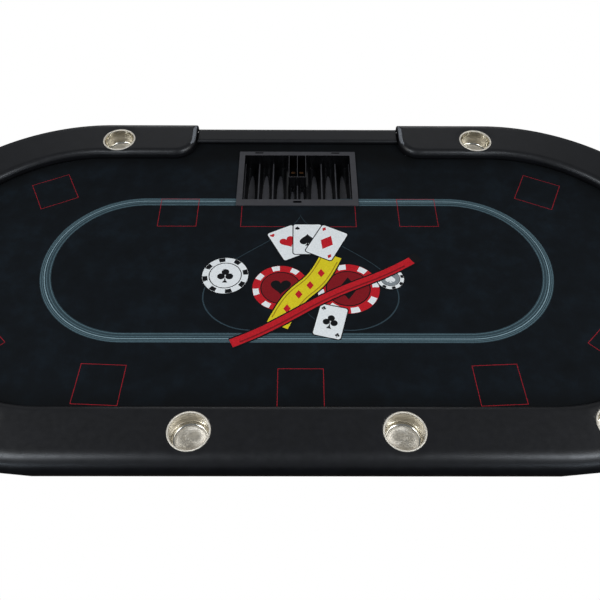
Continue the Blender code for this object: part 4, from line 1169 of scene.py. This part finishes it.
def make_fixings(side):
    """The screws that hold the saddles, bracket and clips up to the deck."""
    bm = bmesh.new()

    def screw(node, across, along, radius, height):
        place = middle(node) + Vector((across, along, 0))
        place.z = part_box(node)[1][2] - 0.0031
        screw_head(bm, place, radius, height)

    for place in ("near", "far"):
        for across in (-0.029, 0.029):
            screw(f"{side}_{place}_saddle", across, 0, 0.0046, 0.0024)
        screw(f"{side}_{place}_clip", 0, 0, 0.0042, 0.0020)
    for along in (-0.021, 0.021):
        screw(f"{side}_brace_bracket", 0, along, 0.0046, 0.0024)
    make_piece(f"{side}_hardware_screws", bm, [ZINC], TOP, 40)


def make_deck_bolts():
    """Bolt heads and washers under the deck, which hold the padded rail and the playing board."""
    bm = bmesh.new()
    line = 0.5375  # the bolts' distance from the rail's spine
    below = DECK_LOW[2] - 0.0001
    right = [(0.08, -line), (0.40, -line), (0.56, -line), (0.42, line)]
    for angle in (-48, 0, 18, 63):
        turn = math.radians(angle)
        right.append((SPINE + line * math.cos(turn), line * math.sin(turn)))
    washer = [(0.0, 0.0), (0.0105, 0.0), (0.0105, -0.0012), (0.0, -0.0012)]
    head = [(0.0, -0.0012), (0.0075, -0.0012), (0.0075, -0.0057), (0.0068, -0.0063), (0.0, -0.0063)]
    for x, y in right + [(-x, y) for x, y in right]:
        turned(bm, washer, (x, y, below))
        turned(bm, head, (x, y, below), UP, 6)
    screws = [(x, y) for x in (-0.78, -0.26, 0.26, 0.78) for y in (-0.38, -0.10)]
    for x, y in screws + [(x, 0.563) for x in (-0.24, 0.0, 0.24)]:
        screw_head(bm, (x, y, below), 0.0042, 0.0018)
    make_piece("deck_bolts_and_screws", bm, [ZINC], TOP, 40)


def paint_boards():
    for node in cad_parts:
        if node.startswith("rail_board") or node in ("deck_panel", "dealer_rail_board"):
            paint(node, STAINED_PLY)
        elif node.startswith("rail_foam") or node in ("foam_underlay", "dealer_rail_foam"):
            paint(node, FOAM)
    paint("playing_board", MDF)
    paint("tray_cradle", RAW_PLY)


# ---------------------------------------------------------------- studio
def aim(obj, target):
    direction = Vector(target) - obj.location
    obj.rotation_euler = direction.to_track_quat("-Z", "Y").to_euler()


def softbox(name, place, target, width, depth, power, colour="#FFFFFF"):
    light = bpy.data.lights.new(name, "AREA")
    light.shape = "RECTANGLE"
    light.size = width
    light.size_y = depth
    light.energy = power
    light.color = srgb(colour)[:3]
    obj = bpy.data.objects.new(name, light)
    bpy.context.scene.collection.objects.link(obj)
    obj.location = place
    aim(obj, target)


def bright_for_camera(tree, output, seen, cast):
    """White where it is looked at, and dimmer as a source of light."""
    looked_at = add(tree, "LightPath").outputs["Is Camera Ray"]
    feed(tree, output, {"Surface": add(tree, "MixShader", {0: looked_at, 1: cast, 2: seen})})


def make_studio():
    """White paper all round, dim as a source, with softboxes at the sides, corners and back."""
    world = bpy.data.worlds.new("studio")
    bpy.context.scene.world = world
    world.use_nodes = True
    tree = world.node_tree
    tree.nodes.clear()
    seen = add(tree, "Background", {"Color": srgb("#FFFFFF"), "Strength": 1.0})
    cast = add(tree, "Background", {"Color": srgb("#E8EEF6"), "Strength": 0.22})
    bright_for_camera(tree, add(tree, "OutputWorld"), seen, cast)

    bm = bmesh.new()
    bmesh.ops.create_grid(bm, x_segments=1, y_segments=1, size=14.0)
    mesh = bpy.data.meshes.new("studio_floor")
    bm.to_mesh(mesh)
    bm.free()
    floor = bpy.data.objects.new("studio_floor", mesh)
    bpy.context.scene.collection.objects.link(floor)
    floor.location = (0, 0, -0.0005)
    paper = bpy.data.materials.new("white_paper_sweep")
    paper.use_nodes = True
    tree = paper.node_tree
    tree.nodes.clear()
    seen = add(tree, "Emission", {"Color": srgb("#FFFFFF"), "Strength": 1.0})
    cast = add(tree, "BsdfDiffuse", {"Color": srgb("#2C2C2C")})
    bright_for_camera(tree, add(tree, "OutputMaterial"), seen, cast)
    mesh.materials.append(paper)

    softbox("back_sheen", (0.0, 3.3, 3.1), (0, 0.3, 0.76), 4.5, 1.3, 4.0)
    for side in (-1, 1):
        aim_at = (side * 0.6, 0, 0.76)
        softbox("front_strip", (side * 2.3, -3.1, 1.30), aim_at, 1.3, 0.35, 9.0, "#D6E6F5")
        softbox("front_bank", (side * 2.2, -1.6, 3.3), aim_at, 0.9, 1.1, 44.0, "#E6EEF7")
        softbox("side_bank", (side * 2.9, -0.5, 2.7), (0, 0.1, 0.76), 1.9, 1.5, 24.0, "#FBFBF8")
    softbox("back_fill", (0.0, 3.4, 1.2), (0, 0, 0.5), 3.0, 0.6, 8.0)


def make_camera():
    """A standing person's view down on to the table, from the players' side."""
    pitch, yaw, roll = math.radians(52.465), math.radians(0.4166), math.radians(0.4379)
    place = Vector((-0.0003, -1.2244, CLOTH_Z + 1.4366))
    level = Vector((math.sin(yaw), math.cos(yaw), 0.0))
    forward = level * math.cos(pitch) - UP * math.sin(pitch)
    right = Vector((math.cos(yaw), -math.sin(yaw), 0.0))
    up = right.cross(forward)
    camera_x = right * math.cos(roll) + up * math.sin(roll)
    camera_y = up * math.cos(roll) - right * math.sin(roll)
    data = bpy.data.cameras.new("players_side_view")
    data.sensor_width = 36.0
    data.lens = 40.223
    data.clip_end = 60.0
    camera = bpy.data.objects.new("players_side_view", data)
    bpy.context.scene.collection.objects.link(camera)
    axes = Matrix((camera_x, camera_y, -forward)).transposed().to_4x4()
    camera.matrix_world = Matrix.Translation(place) @ axes
    bpy.context.scene.camera = camera


def main():
    bpy.context.scene.view_settings.view_transform = "Standard"
    make_camera()
    make_studio()
    make_rail_cover()
    make_dealer_rail()
    make_cloth()
    print_racetrack()
    print_card_boxes()
    print_emblem()
    make_cups()
    make_tray()
    for side in ("left", "right"):
        make_leg_set(side)
    make_deck_bolts()
    paint_boards()


main()
